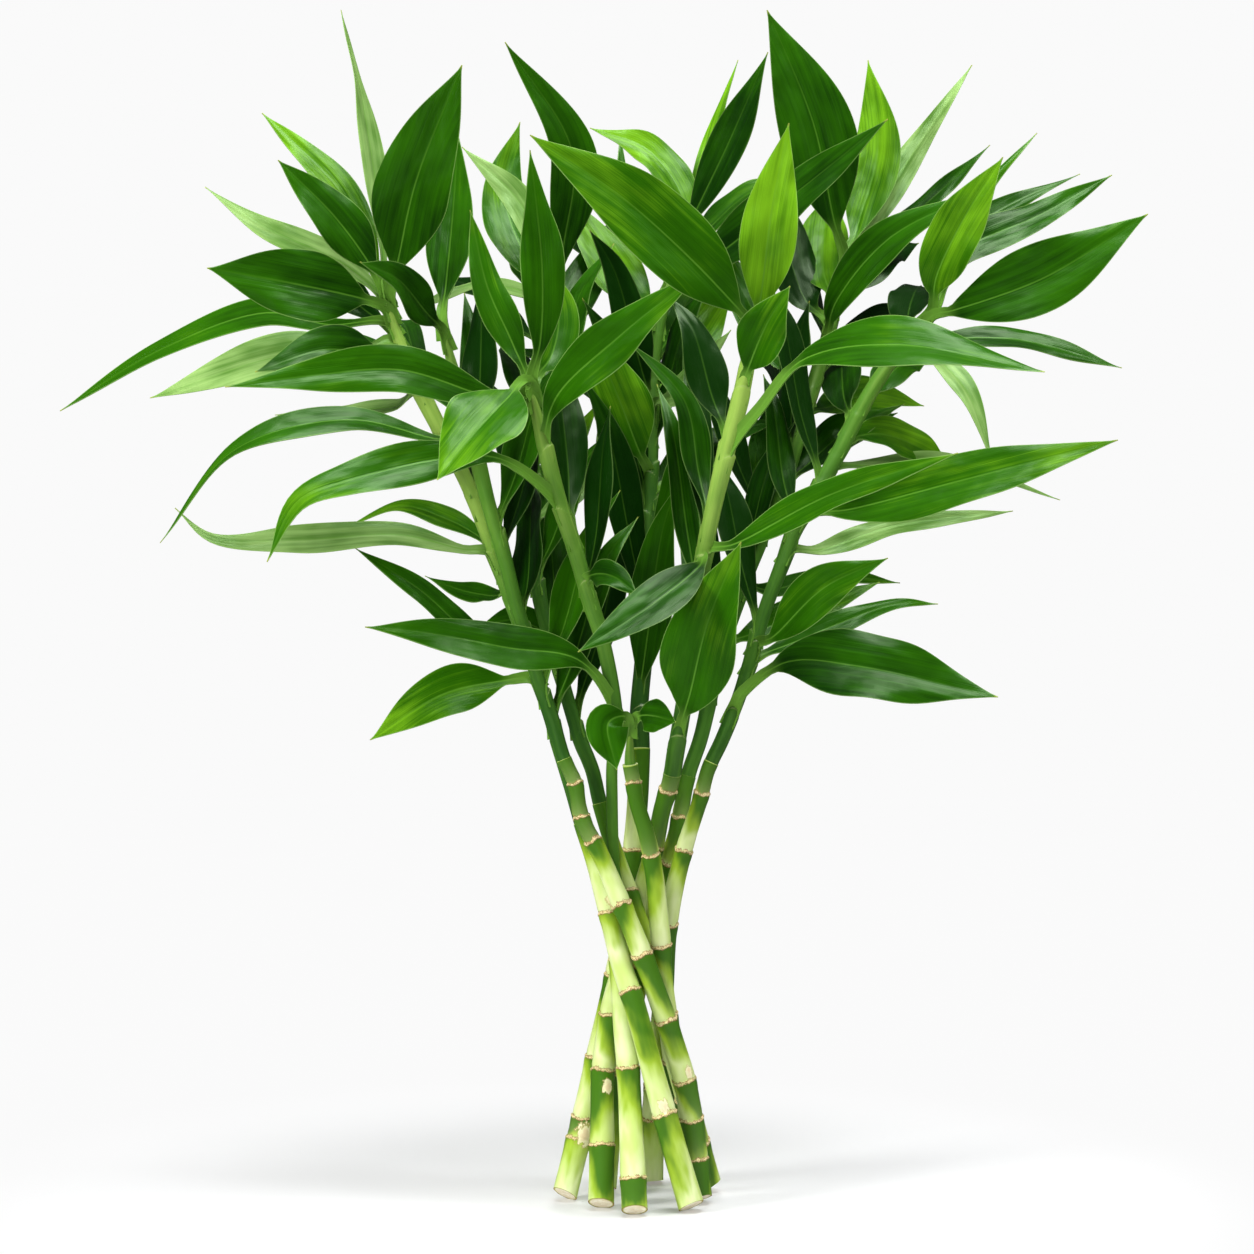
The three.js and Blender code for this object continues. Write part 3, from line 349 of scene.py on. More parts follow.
# A smooth curve through points, by centripetal Catmull-Rom spans
class Curve:
    LENGTH_STEPS = 200
    NEAR = 1e-4
    CENTRIPETAL = 0.25

    def __init__(self, points):
        p = np.array(points, dtype=float)
        self.points = np.vstack([2 * p[0] - p[1], p, 2 * p[-1] - p[-2]])
        self.spans = len(p) - 1
        self.steps = np.linspace(0, 1, self.LENGTH_STEPS + 1)
        runs = np.linalg.norm(np.diff(self.point(self.steps), axis=0), axis=1)
        self.lengths = np.concatenate([[0], np.cumsum(runs)])
        self.length = self.lengths[-1]

    def point(self, t):
        place = np.atleast_1d(np.clip(t, 0, 1)) * self.spans
        k = np.minimum(place.astype(int), self.spans - 1)
        w = (place - k)[:, None]
        p0, p1, p2, p3 = (self.points[k + n] for n in range(4))
        pairs = ((p0, p1), (p1, p2), (p2, p3))
        d0, d1, d2 = (((b - a) ** 2).sum(1)[:, None] ** self.CENTRIPETAL for a, b in pairs)
        d1 = np.where(d1 < self.NEAR, 1, d1)
        d0 = np.where(d0 < self.NEAR, d1, d0)
        d2 = np.where(d2 < self.NEAR, d1, d2)
        t1 = ((p1 - p0) / d0 - (p2 - p0) / (d0 + d1) + (p2 - p1) / d1) * d1
        t2 = ((p2 - p1) / d1 - (p3 - p1) / (d1 + d2) + (p3 - p2) / d2) * d1
        return p1 + w * (t1 + w * (3 * (p2 - p1) - 2 * t1 - t2 + w * (2 * (p1 - p2) + t1 + t2)))

    def place(self, share):
        return np.interp(np.asarray(share) * self.length, self.lengths, self.steps)

    def at(self, share):
        return self.point(self.place(share))

    def along(self, share):
        t = self.place(share)
        return unit(self.point(t + self.NEAR) - self.point(t - self.NEAR))


# A stalk's line from the foot up, read at even levels of height
class Stalk:
    FINE_STEPS = 12
    ALONG_REACH = 2
    BELOW_TOP = 0.001

    def __init__(self, facts):
        self.seam = facts["seam"]
        self.rings = facts["rings"]
        self.girth = facts.get("girth", GIRTH)
        path = np.array(facts["path"], dtype=float)
        fine = Curve(path).point(np.linspace(0, 1, len(path) * self.FINE_STEPS + 1))
        self.foot = fine[0, 1]
        self.top = fine[-1, 1]
        first = math.ceil(-FOOT_STUB / LEVEL)
        count = math.ceil((self.top + LEVEL) / LEVEL) - first
        self.h = (first + np.arange(count)) * float(LEVEL)
        k = np.clip(np.searchsorted(fine[1:-1, 1], self.h) + 1, 1, len(fine) - 1)
        t = ((self.h - fine[k - 1, 1]) / (fine[k, 1] - fine[k - 1, 1]))[:, None]
        places = fine[k - 1] + (fine[k] - fine[k - 1]) * t
        self.x = places[:, 0]
        self.y = places[:, 2]

    def radius(self, heights):
        return value_at(self.girth, heights)

    # Slants and room at each level, before the stalks settle
    def measure(self):
        n = np.arange(len(self.h))
        below = np.maximum(n - 1, 0)
        above = np.minimum(n + 1, len(n) - 1)
        rise = self.h[above] - self.h[below]
        self.lean = rise / np.hypot(rise, self.x[above] - self.x[below])
        self.dip = rise / np.hypot(rise, self.y[above] - self.y[below])
        self.room = self.radius(self.h) * FLAT_SHARE + RING_RISE / 2
        self.start = self.y.copy()

    # Centre at heights, as it really lies
    def at(self, heights):
        heights = np.atleast_1d(heights)
        last = len(self.h) - 1
        n = np.clip((heights - self.h[0]) / LEVEL, 0, last - self.BELOW_TOP)
        k = n.astype(int)
        t = n - k
        values = []
        for row in (self.x, self.y):
            a, b, c, d = (row[np.clip(k + m, 0, last)] for m in (-1, 0, 1, 2))
            curl = 2 * a - 5 * b + 4 * c - d + t * (3 * (b - c) + d - a)
            values.append(b + 0.5 * t * (c - a + t * curl))
        return seen(values[0], heights, values[1])

    def along(self, heights):
        heights = np.atleast_1d(heights)
        return unit(self.at(heights + self.ALONG_REACH) - self.at(heights - self.ALONG_REACH))


# Lets the stalks lean on each other: pairs that are too close move apart in depth alone
def settle(stalks):
    group = list(stalks.values())
    for s in group:
        s.measure()
    pairs = []
    for i, a in enumerate(group):
        for b in group[i + 1:]:
            n = min(len(a.h), len(b.h))
            across = np.abs(a.x[:n] - b.x[:n]) * np.minimum(a.lean[:n], b.lean[:n])
            need = a.room[:n] + b.room[:n] + LEAN_GAP
            apart = np.sqrt(np.maximum(need ** 2 - across ** 2, 0)) / np.minimum(a.dip[:n], b.dip[:n])
            side = np.sign(a.start[:n] - b.start[:n])
            if (across < need).any():
                pairs.append((a, b, n, across < need, apart, side))
    for turn in range(SETTLE_ROUNDS):
        for a, b, n, close, apart, side in pairs:
            lack = apart - side * (a.y[:n] - b.y[:n])
            push = np.where(close & (lack > 0), side * lack / 2, 0)
            a.y[:n] += push
            b.y[:n] -= push
        blend = SETTLE_BLEND * (1 - turn / SETTLE_ROUNDS)
        for s in group:
            moved = s.y - s.start
            wide = np.concatenate([moved[:1], moved, moved[-1:]])
            near = (wide[:-2] + wide[2:]) / 2
            s.y = s.start + moved + (near - moved) * blend


# Directions across a stalk
def across_of(along):
    side = unit(np.cross([0.0, 1.0, 0.0], along))
    return side, np.cross(side, along)


class Leaf:
    def __init__(self, number, row):
        self.number = number
        self.fill = number >= len(LEAVES)
        self.stalk, self.root, size, turn = row[:4]
        self.points = row[4:]
        self.turn = turn if isinstance(turn, list) else [turn, turn]
        self.width = size[0] if isinstance(size, list) else size
        self.petiole = size[1] if isinstance(size, list) else PETIOLE_LEAST + self.width * PETIOLE_SHARE
        self.phase = number * WAVE_LAG

    # The line of the rib from the middle of the stalk to the tip
    def lay(self, stalk, bend):
        root = stalk.at(self.root)[0]
        up = stalk.along(self.root)[0]
        count = len(self.points)
        out = []
        for n, (x, height, depth) in enumerate(self.points):
            out.append(seen(x, height, depth + bend * (n + 1) / count))
        away = out[0] - root
        reach = np.linalg.norm(away)
        start = root + up * min(ROOT_RISE, reach * ROOT_RISE_SHARE) + away / reach * ROOT_OUT
        self.rib = Curve([root, start] + out)
        self.stem = self.petiole / self.rib.length

    # Place, and the ways across and out of the blade, at shares of the length
    def frames(self, s):
        along = self.rib.along(s)
        chord = self.rib.point(1)[0] - self.rib.point(0)[0]
        sense = 1 if np.cross(chord, FRONT)[2] >= 0 else -1
        view = unit(FRONT - along * (along @ FRONT)[:, None])
        rise = np.cross(along, view) * sense
        turn = np.radians(self.turn[0] + (self.turn[1] - self.turn[0]) * s)[:, None]
        face = view * np.cos(turn) + rise * np.sin(turn)
        return self.rib.at(s), np.cross(along, face), face

    # The corner of the solid's blade at the tip
    def corner(self):
        at, wide, face = self.frames(np.array([1.0]))
        half = TIP_WIDE / 2
        return (at - wide * half + face * (FOLD * half + BLADE_THICK / 2))[0]


# Leaves that fill the bunch, fanned about a heading and arching out
def fill_leaves(stalks):
    draw = Draw(FILL_SEED).between
    rows = []
    for name, count, low, high, heading, fan, far, up in FILLS:
        for n in range(count):
            root = low + ((high - low) * (n + draw(*FILL_SPREAD))) / count
            base = stalks[name].at(root)[0]
            turn = math.radians(heading + ((n % 2) * 2 - 1) * draw(*FILL_SWING) * fan)
            reach = far * draw(*FILL_VARY)
            rise = up * draw(*FILL_VARY)
            way = np.array([math.cos(turn) * reach, math.sin(turn) * reach, rise])
            arch = [as_seen(base + way * [out, out, above]) for out, above in FILL_ARCH]
            rows.append([name, root, draw(*FILL_WIDE), draw(*FILL_TURN)] + arch)
    return rows


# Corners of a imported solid, to find how far each leaf was bent in depth
def corner_tree(node):
    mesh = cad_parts[node].data
    tree = kdtree.KDTree(len(mesh.vertices))
    for n, vertex in enumerate(mesh.vertices):
        tree.insert(vertex.co, n)
    tree.balance()
    return tree


# Bends every leaf as its solid is bent, and leaves out those that have no solid
def lay_leaves(stalks):
    trees = {name: corner_tree("leafy_shoot_" + name) for name in stalks}
    laid = []
    for number, row in enumerate(LEAVES + fill_leaves(stalks)):
        leaf = Leaf(number, row)
        bends = FILL_BENDS if leaf.fill else BENDS
        misses = []
        for bend in bends:
            leaf.lay(stalks[leaf.stalk], bend)
            spot = (leaf.corner() - MIDDLE) * MM
            misses.append(trees[leaf.stalk].find(Vector(spot))[2])
        leaf.lay(stalks[leaf.stalk], bends[misses.index(min(misses))])
        if min(misses) < MISS:
            laid.append(leaf)
    return laid


# Tone of each leaf, from -1 darkest to 1 brightest, and sage green above 1: partly its own colour and partly
# painted light and shade, with painted shade on dark leaves deep in the bunch; the others are drawn
TONES = {
    0: -0.25, 1: -0.25, 2: -0.3, 3: 1.4, 4: 0.45, 5: 1.15, 6: -0.05, 7: 1.2, 8: -0.4, 9: 1.2, 10: 1.1,
    14: 0.3, 15: -0.25, 18: -0.05, 19: 0.1, 20: -0.1, 21: -0.15, 23: 0.3, 24: 0.3, 25: 0.1, 27: -0.35,
    28: 1.5, 29: 0.2, 30: 1.2, 33: 1.2, 35: -0.6, 39: -0.5, 42: 1.2, 44: 1.3, 45: 0.5, 46: 0.2, 47: 0.8,
    48: 0.1, 49: 0, 50: 0.1, 51: -0.5, 52: 0.1, 54: -0.8, 55: -0.3, 56: 0.5, 57: 1.2, 59: -0.2, 66: 0.5,
    67: -0.2, 68: -0.3, 69: -0.4, 72: 1.2, 73: 0.2, 75: 1.2, 76: 1.1, 79: -0.4,
}
TONE_SEED = 11
SHAPE_SEED = 13
# The fill leaves inside the bunch draw darker tones than the others: painted shade
FILL_TONE_SHADED = [-1.5, 0.1]
LEAF_TONE = [-0.5, 0.6]

# Blade mesh
BLADE_ACROSS = 12
BLADE_ALONG = 44
MASTER_THICK = 0.02
LEAF_CREASE = 40
LEAF_LAG = 23.0

# Outline of a blade: its point, and how the leaf's stalk widens into it and clasps the stem
TIP_POINT = 0.5
BASE_SOFT = 1.6
CLASP_WIDE = 3.0
CLASP_FADE = 1.5

# Thickness of a blade at its middle and rim, and the rib along it
MIDDLE_THICK = 0.75
RIM_THICK = 0.36
PETIOLE_RIM = 1.2
RIM_FALL = 0.7
SETTLE_RUN = 6
SETTLE_START = 0.2
TIP_RUN = 9
TIP_THIN = 0.5
RIB_CROWD = 1.35
RIB_WIDE = 1.1
RIB_GROOVE = 0.22
RIB_KEEL = 0.5
RIB_END = 4

# Fold and waves of a blade
BLADE_FOLD = FOLD * 1.45
CLASP_FOLD = 0.4
FOLD_ROUND = 1.2
FOLD_SINK = 1.1
DROOP = 0.1
DROOP_SINK = 0.6
EDGE_POWER = 3
WAVE_SHARE = 1.15
EDGE_WAVE = 0.9
RUFFLE_COUNT = [8, 20]
RUFFLE_LAG = [0, 6]
RUFFLE_VARY = [0.4, 1.3]
RUFFLE_WIDTH = 22
RUFFLE_MOST = 1.4
RUFFLE_SKEW = 1.3

# Stem mesh: a round stem with the clasping base of each leaf
STEM_SIDES = 24
STEM_ROW = 0.8
STEM_CREASE = 60
STEM_INSET = 0.25
SHEATH_AT = 0.12
SHEATH_RISE = 0.28
SHEATH_OUT = 1.0
SHEATH_RUN = 24
SHEATH_TOP = 4.5
SHEATH_TILT = 4.5
SHEATH_EDGE = 0.8
LIP_BELOW = 0.3
LIP_HIGH = 0.75
LIP_BACK = 0.75
TOP_RUN = 26
TOP_SHARE = 0.35
TOP_FALL = 0.8
DOME = 2.0
DOME_ROWS = 5

# Cane mesh: rows close together at each ring, a slight waist between rings, the cut foot
CANE_SIDES = 28
CANE_ROW = 2.4
CANE_CREASE = 50
RING_ROWS = [-3, -2.2, -1.6, -1.1, -0.7, -0.35, 0, 0.35, 0.7, 1.1, 1.6, 2.2, 3]
RING_CLEAR = 0.8
SEAM_CLEAR = 0.5
RING_FAR = 6.0
RING_LIFT = 0.15
WAIST = 0.22
CUT_NEAR = 0.1
CUT_SIDES = 8
CUT_STEPS = (0.0007, 0.0014, 0.0016)
FLAT_THRESHOLD = 0.000001
WELD = 0.00001

# A ring's profile: how far it stands out, how far above its line, half width
RING_PROFILE = [[0.42, 0, 0.55], [0.3, -2.2, 2.6], [-0.22, 1.3, 0.7]]

# Its uneven line round the cane: a few deep waves and many small ones
FEW_WAVES = [2, 3.99]
MANY_WAVES = [5, 8]
WAVE_START = [0, 6.3]
FEW_DEEP = 0.75
MANY_DEEP = 0.3
RING_UNEVEN = 0.6


def deselect():
    bpy.ops.object.select_all(action="DESELECT")


def choose(*pieces):
    deselect()
    for piece in pieces:
        piece.select_set(True)
    bpy.context.view_layer.objects.active = pieces[0]


# Opens a piece in edit mode with all of it selected
def open_mesh(piece):
    choose(piece)
    bpy.ops.object.mode_set(mode="EDIT")
    bpy.ops.mesh.select_all(action="SELECT")


def close_mesh():
    bpy.ops.object.mode_set(mode="OBJECT")


# Writes places in millimetres, as the solids are laid out, into a mesh
def place(piece, points):
    spots = ((points - MIDDLE) * MM).astype(np.float32)
    piece.data.vertices.foreach_set("co", spots.ravel())
    piece.data.update()


def corners(piece):
    spots = np.empty(len(piece.data.vertices) * 3, dtype=np.float32)
    piece.data.vertices.foreach_get("co", spots)
    return spots.reshape(-1, 3).astype(float)


# Notes named values at a mesh's corners, for its finish to read
def note(piece, **values):
    for name, numbers in values.items():
        kind, field = ("FLOAT_VECTOR", "vector") if np.ndim(numbers) == 2 else ("FLOAT", "value")
        attribute = piece.data.attributes.new(name, kind, "POINT")
        attribute.data.foreach_set(field, np.ascontiguousarray(numbers, dtype=np.float32).ravel())


def smooth(piece, angle):
    choose(piece)
    bpy.ops.object.shade_smooth_by_angle(angle=math.radians(angle))


# The blade every leaf is copied from: a sheet two units square with a rim
def model_blade():
    deselect()
    bpy.ops.mesh.primitive_grid_add(x_subdivisions=BLADE_ACROSS, y_subdivisions=BLADE_ALONG, size=2)
    blade = bpy.context.object
    wall = blade.modifiers.new("Thickness", "SOLIDIFY")
    wall.thickness = MASTER_THICK
    wall.offset = 0
    bpy.ops.object.modifier_apply(modifier="Thickness")
    return blade


# Share of the greatest width at a share of the blade's length
def outline(q):
    low = np.sin(np.pi / 2 * np.clip(q / WIDEST_AT, 0, 1)) ** BASE_SHAPE
    high = np.cos(np.pi / 2 * np.clip((q - WIDEST_AT) / (1 - WIDEST_AT), 0, 1)) ** END_SHAPE
    return np.where(q < WIDEST_AT, low, high)


def blend_max(a, b, soft):
    return (a + b + np.sqrt((a - b) ** 2 + soft ** 2)) / 2


# How far a blade's skin stands out from the rib, with its fold, waves and thickness
def blade_height(leaf, u, w, inside, upper, draw):
    settled = np.clip(inside * SETTLE_RUN + SETTLE_START, 0, 1)
    middle = PETIOLE_THICK + (MIDDLE_THICK - PETIOLE_THICK) * settled
    rim = PETIOLE_RIM + (RIM_THICK - PETIOLE_RIM) * settled
    taper = np.clip((1 - inside) * TIP_RUN, TIP_THIN, 1)
    thick = (middle + (rim - middle) * np.abs(u) ** RIM_FALL) * taper
    belly = np.sin(np.pi * inside)
    droop = DROOP * leaf.width * belly * np.abs(u) ** EDGE_POWER
    fold = BLADE_FOLD + CLASP_FOLD * (1 - settled)
    lift = fold * np.sqrt(w ** 2 + FOLD_ROUND) - fold * FOLD_SINK - droop * DROOP_SINK
    ripple = -u * np.abs(u) * WAVE * WAVE_SHARE * np.sin(leaf.phase + inside * WAVE_TURNS) * belly
    count = draw(*RUFFLE_COUNT)
    lag = draw(*RUFFLE_LAG)
    ruffle = EDGE_WAVE * draw(*RUFFLE_VARY) * min(RUFFLE_MOST, leaf.width / RUFFLE_WIDTH)
    waves = np.sin(lag + count * inside + np.sign(u) * RUFFLE_SKEW)
    ruffle = ruffle * np.abs(u) ** EDGE_POWER * belly * waves
    rib = np.exp(-(w / RIB_WIDE) ** 2) * np.clip((1 - inside) * RIB_END, 0, 1) * settled
    skin = np.where(upper, thick / 2 - RIB_GROOVE * rib, -thick / 2 - RIB_KEEL * rib)
    return lift + ripple + ruffle + skin


def shape_leaf(blade, leaf, tone, draw):
    piece = blade.copy()
    piece.data = blade.data.copy()
    bpy.context.collection.objects.link(piece)
    spots = corners(piece)
    u = np.sign(spots[:, 0]) * np.abs(spots[:, 0]) ** RIB_CROWD
    s = (spots[:, 1] + 1) / 2
    upper = spots[:, 2] > 0
    at, wide, face = leaf.frames(s)
    q = (s - leaf.stem) / (1 - leaf.stem)
    inside = np.clip(q, 0, 1)
    clasp = np.clip(1 - s / leaf.stem, 0, 1) ** CLASP_FADE
    least = PETIOLE_WIDE + (TIP_POINT - PETIOLE_WIDE) * inside ** 0.5 + CLASP_WIDE * clasp
    half = blend_max(leaf.width * outline(inside), least, BASE_SOFT * (1 - inside)) / 2
    w = u * half
    height = blade_height(leaf, u, w, inside, upper, draw)
    place(piece, at + wide * w[:, None] + face * height[:, None])
    skin = np.stack([w, s * leaf.rib.length, np.full(len(s), leaf.number * LEAF_LAG)], 1)
    note(piece, skin=skin, grown=q, edge=(1 - np.abs(u)) * half)
    note(piece, under=np.where(upper, 0.0, 1.0), tone=np.full(len(s), tone))
    return piece


def make_leaves(name, mine, blade, tones, draw, finish):
    pieces = [shape_leaf(blade, leaf, tones[leaf.number], draw) for leaf in mine]
    choose(*pieces)
    bpy.ops.object.join()
    foliage = pieces[0]
    foliage.name = "leaves_" + name
    foliage.data.name = foliage.name
    foliage.data.materials.append(finish)
    smooth(foliage, LEAF_CREASE)
    return foliage


# A round stem rolled out of a grid: heights up it, a radius for every height and angle
def roll(name, stalk, heights, sides, radius_of):
    deselect()
    bpy.ops.mesh.primitive_grid_add(x_subdivisions=sides, y_subdivisions=len(heights) - 1, size=2)
    piece = bpy.context.object
    piece.name = name
    piece.data.name = name
    spots = corners(piece)
    column = np.rint((spots[:, 0] + 1) / 2 * sides).astype(int)
    row = np.rint((spots[:, 1] + 1) / 2 * (len(heights) - 1)).astype(int)
    angle = 2 * np.pi * (column % sides) / sides
    height = heights[row]
    side, other = across_of(stalk.along(height))
    out = side * np.sin(angle)[:, None] + other * np.cos(angle)[:, None]
    place(piece, stalk.at(height) + out * radius_of(height, angle)[:, None])
    girth = stalk.radius(height)
    note(piece, skin=np.stack([np.sin(angle) * girth, np.cos(angle) * girth, height], 1))
    return piece, height, angle


# Closes the seam up the side and the open ends
def close_up(piece):
    open_mesh(piece)
    bpy.ops.mesh.remove_doubles(threshold=WELD)
    bpy.ops.mesh.fill_holes(sides=0)
    bpy.ops.mesh.select_all(action="SELECT")
    bpy.ops.mesh.normals_make_consistent(inside=False)
    close_mesh()


# How far each stalk is along from deep green to lime, up its leafy shoot: [height, share]
LIMES = {
    "a": [[227, 0], [330, 0.05], [420, 0.35], [474, 0.6]],
    "b": [[214, 0.1], [275, 0.3], [340, 0.75], [442, 1.1]],
    "c": [[160, 0.3], [250, 0.35], [300, 0.45], [405, 0.7]],
    "d": [[220, 0.05], [280, 0.15], [360, 0.3], [440, 0.6]],
    "e": [[190, 0.05], [270, 0.2], [300, 0.4], [350, 0.85], [450, 0.9]],
    "f": [[221, 0], [270, 0.15], [320, 0.4], [433, 0.6]],
    "g": [[219, 0.4], [234, 0.7]],
    "h": [[199, 0.05], [300, 0.15], [451, 0.5]],
    "r": [[213, 0.15], [300, 0.25], [466, 0.6]],
}
SHEATH_LIME = 0.1


def make_stem(name, stalk, mine, finish):
    shoulder = stalk.top - DOME
    rows = round((stalk.top - stalk.seam) / STEM_ROW)
    dome_rows = shoulder + DOME * np.sin(np.linspace(0, np.pi / 2, DOME_ROWS + 1)[1:])
    heights = np.concatenate([np.linspace(stalk.seam, shoulder, rows), dome_rows])
    roots = []
    for leaf in mine:
        side, other = across_of(stalk.along(leaf.root)[0])
        away = leaf.rib.at(SHEATH_AT)[0] - stalk.at(leaf.root)[0]
        roots.append([leaf.root, math.atan2(away @ side, away @ other)])
    roots.sort()

    # Swell and raised lip of the leaf bases that clasp the stem
    def sheath(height, angle):
        swell = np.zeros_like(height)
        lip = np.zeros_like(height)
        for root, heading in roots:
            toward = np.cos(angle - heading)
            below = root + SHEATH_TOP + SHEATH_TILT * toward - height
            inside = np.clip(below / SHEATH_EDGE + 0.5, 0, 1) * np.clip(1 - below / SHEATH_RUN, 0, 1)
            bulge = SHEATH_RISE + SHEATH_OUT * inside * np.clip(toward, 0, 1) ** 2
            swell = np.maximum(swell, inside * bulge)
            strength = LIP_BACK + (1 - LIP_BACK) * toward
            lip = np.maximum(lip, np.exp(-((below - LIP_BELOW) / LIP_HIGH) ** 2) * strength)
        return swell, lip

    def radius_of(height, angle):
        swell = sheath(height, angle)[0]
        left = np.clip((stalk.top - height) / DOME, 0, 1)
        dome = np.sqrt(np.clip(1 - (1 - left) ** 2, 0, 1))
        taper = TOP_SHARE + (1 - TOP_SHARE) * np.clip((stalk.top - height) / TOP_RUN, 0, 1) ** TOP_FALL
        return (stalk.radius(height) * taper - STEM_INSET + swell * taper) * dome

    piece, height, angle = roll("stem_" + name, stalk, heights, STEM_SIDES, radius_of)
    swell, lip = sheath(height, angle)
    note(piece, lip=lip, lime=value_at(LIMES[name], height) + SHEATH_LIME * swell)
    close_up(piece)
    piece.data.materials.append(finish)
    smooth(piece, STEM_CREASE)
    return piece


# Below each ring, and below the seam: the share that is dark green, and the side where it reaches
# lowest, in degrees from the front towards the right
BANDS = {
    "a": [[0.12, -60], [0.65, -90], [0.3, 60], [0.35, -40], [0.5, 0], [0.4, 60]],
    "b": [[0.5, 50], [0.62, -70], [0.5, 90], [0.25, -80], [0.3, 60], [0.8, 0], [0.9, 0]],
    "c": [[0.5, 0], [0.27, 60], [0.16, 60], [0.2, 0]],
    "d": [[0.12, 0], [0.35, 90], [0.5, 60], [0.3, 90], [0.3, 0], [0.7, 0]],
    "e": [[0.42, -90], [0.4, 40], [0.14, 80], [0.2, -60]],
    "f": [
        [0.5, 60], [0.7, 0], [0.8, 90], [0.35, 70], [0.72, 80], [0.4, -80], [0.2, 0], [0.9, 0], [0.9, 0],
        [0.9, 0],
    ],
    "g": [[0.45, -40], [0.7, 0], [0.4, 90], [0.35, 80], [0.35, -60], [0.8, 0], [0.8, 0]],
    "h": [[0.5, 0], [0.4, 60], [0.3, 90], [0.5, 0]],
    "r": [[0.35, 0], [0.45, -60], [0.3, 0], [0.4, 60], [0.5, 0], [0.8, 0]],
}
BAND_UNEVEN = [0.45, 0.85]
BAND_EDGE = 1.6
PALE_RUN = 5

# Old side shoots cut off the canes: height, side in degrees from the front towards the right, radius
SCARS = {
    "a": [[35, 25, 5.2]],
    "b": [[58, 25, 3.4]],
    "e": [[49, 5, 3.2], [150, 30, 2.6]],
    "f": [[66, 40, 2.8]],
    "g": [[35, -10, 3.2]],
    "h": [[76, 60, 3]],
}
SCAR_FAR = 9.0
SCAR_SQUASH = 0.8
KNOB_OUT = 0.5
KNOB_WIDE = 0.8


# Cuts the foot on a slant that faces away from the middle, and flattens it where it stands
def cut_foot(piece, stalk, foot):
    at = stalk.at(foot)[0]
    down = -stalk.along(foot)[0]
    face = unit(down + np.append(unit(at[:2] - CUT_CENTRE), 0) * CUT_SLANT)
    side, other = across_of(-down)
    turn = np.arange(CUT_SIDES) / CUT_SIDES * 2 * np.pi
    rim = (side * np.sin(turn)[:, None] + other * np.cos(turn)[:, None]) * stalk.radius(foot)
    lowest = (rim[:, 2] - down[2] * (rim @ face) / (down @ face)).min()
    lift = (-FOOT_FLAT - lowest - at[2]) / -down[2]
    cut_at = at - down * lift
    open_mesh(piece)
    bpy.ops.mesh.bisect(plane_co=tuple((cut_at - MIDDLE) * MM), plane_no=tuple(face),
                        use_fill=True, clear_outer=True)
    for step in CUT_STEPS:
        bpy.ops.mesh.inset(thickness=step)
    bpy.ops.mesh.select_all(action="SELECT")
    bpy.ops.mesh.bisect(plane_co=(0, 0, 0), plane_no=(0, 0, -1), use_fill=True, clear_outer=True,
                        threshold=FLAT_THRESHOLD)
    close_mesh()
    spots = corners(piece)
    from_cut = (spots / MM + MIDDLE) - cut_at
    across = from_cut - np.outer(from_cut @ down, down)
    reach = np.linalg.norm(across, axis=1) / stalk.radius(foot)
    on_cut = (np.abs(from_cut @ face) < CUT_NEAR) | (spots[:, 2] < CUT_NEAR * MM)
    note(piece, core=np.where(on_cut, reach, 1))
    for polygon in piece.data.polygons:
        if all(on_cut[k] for k in polygon.vertices):
            polygon.material_index = 1


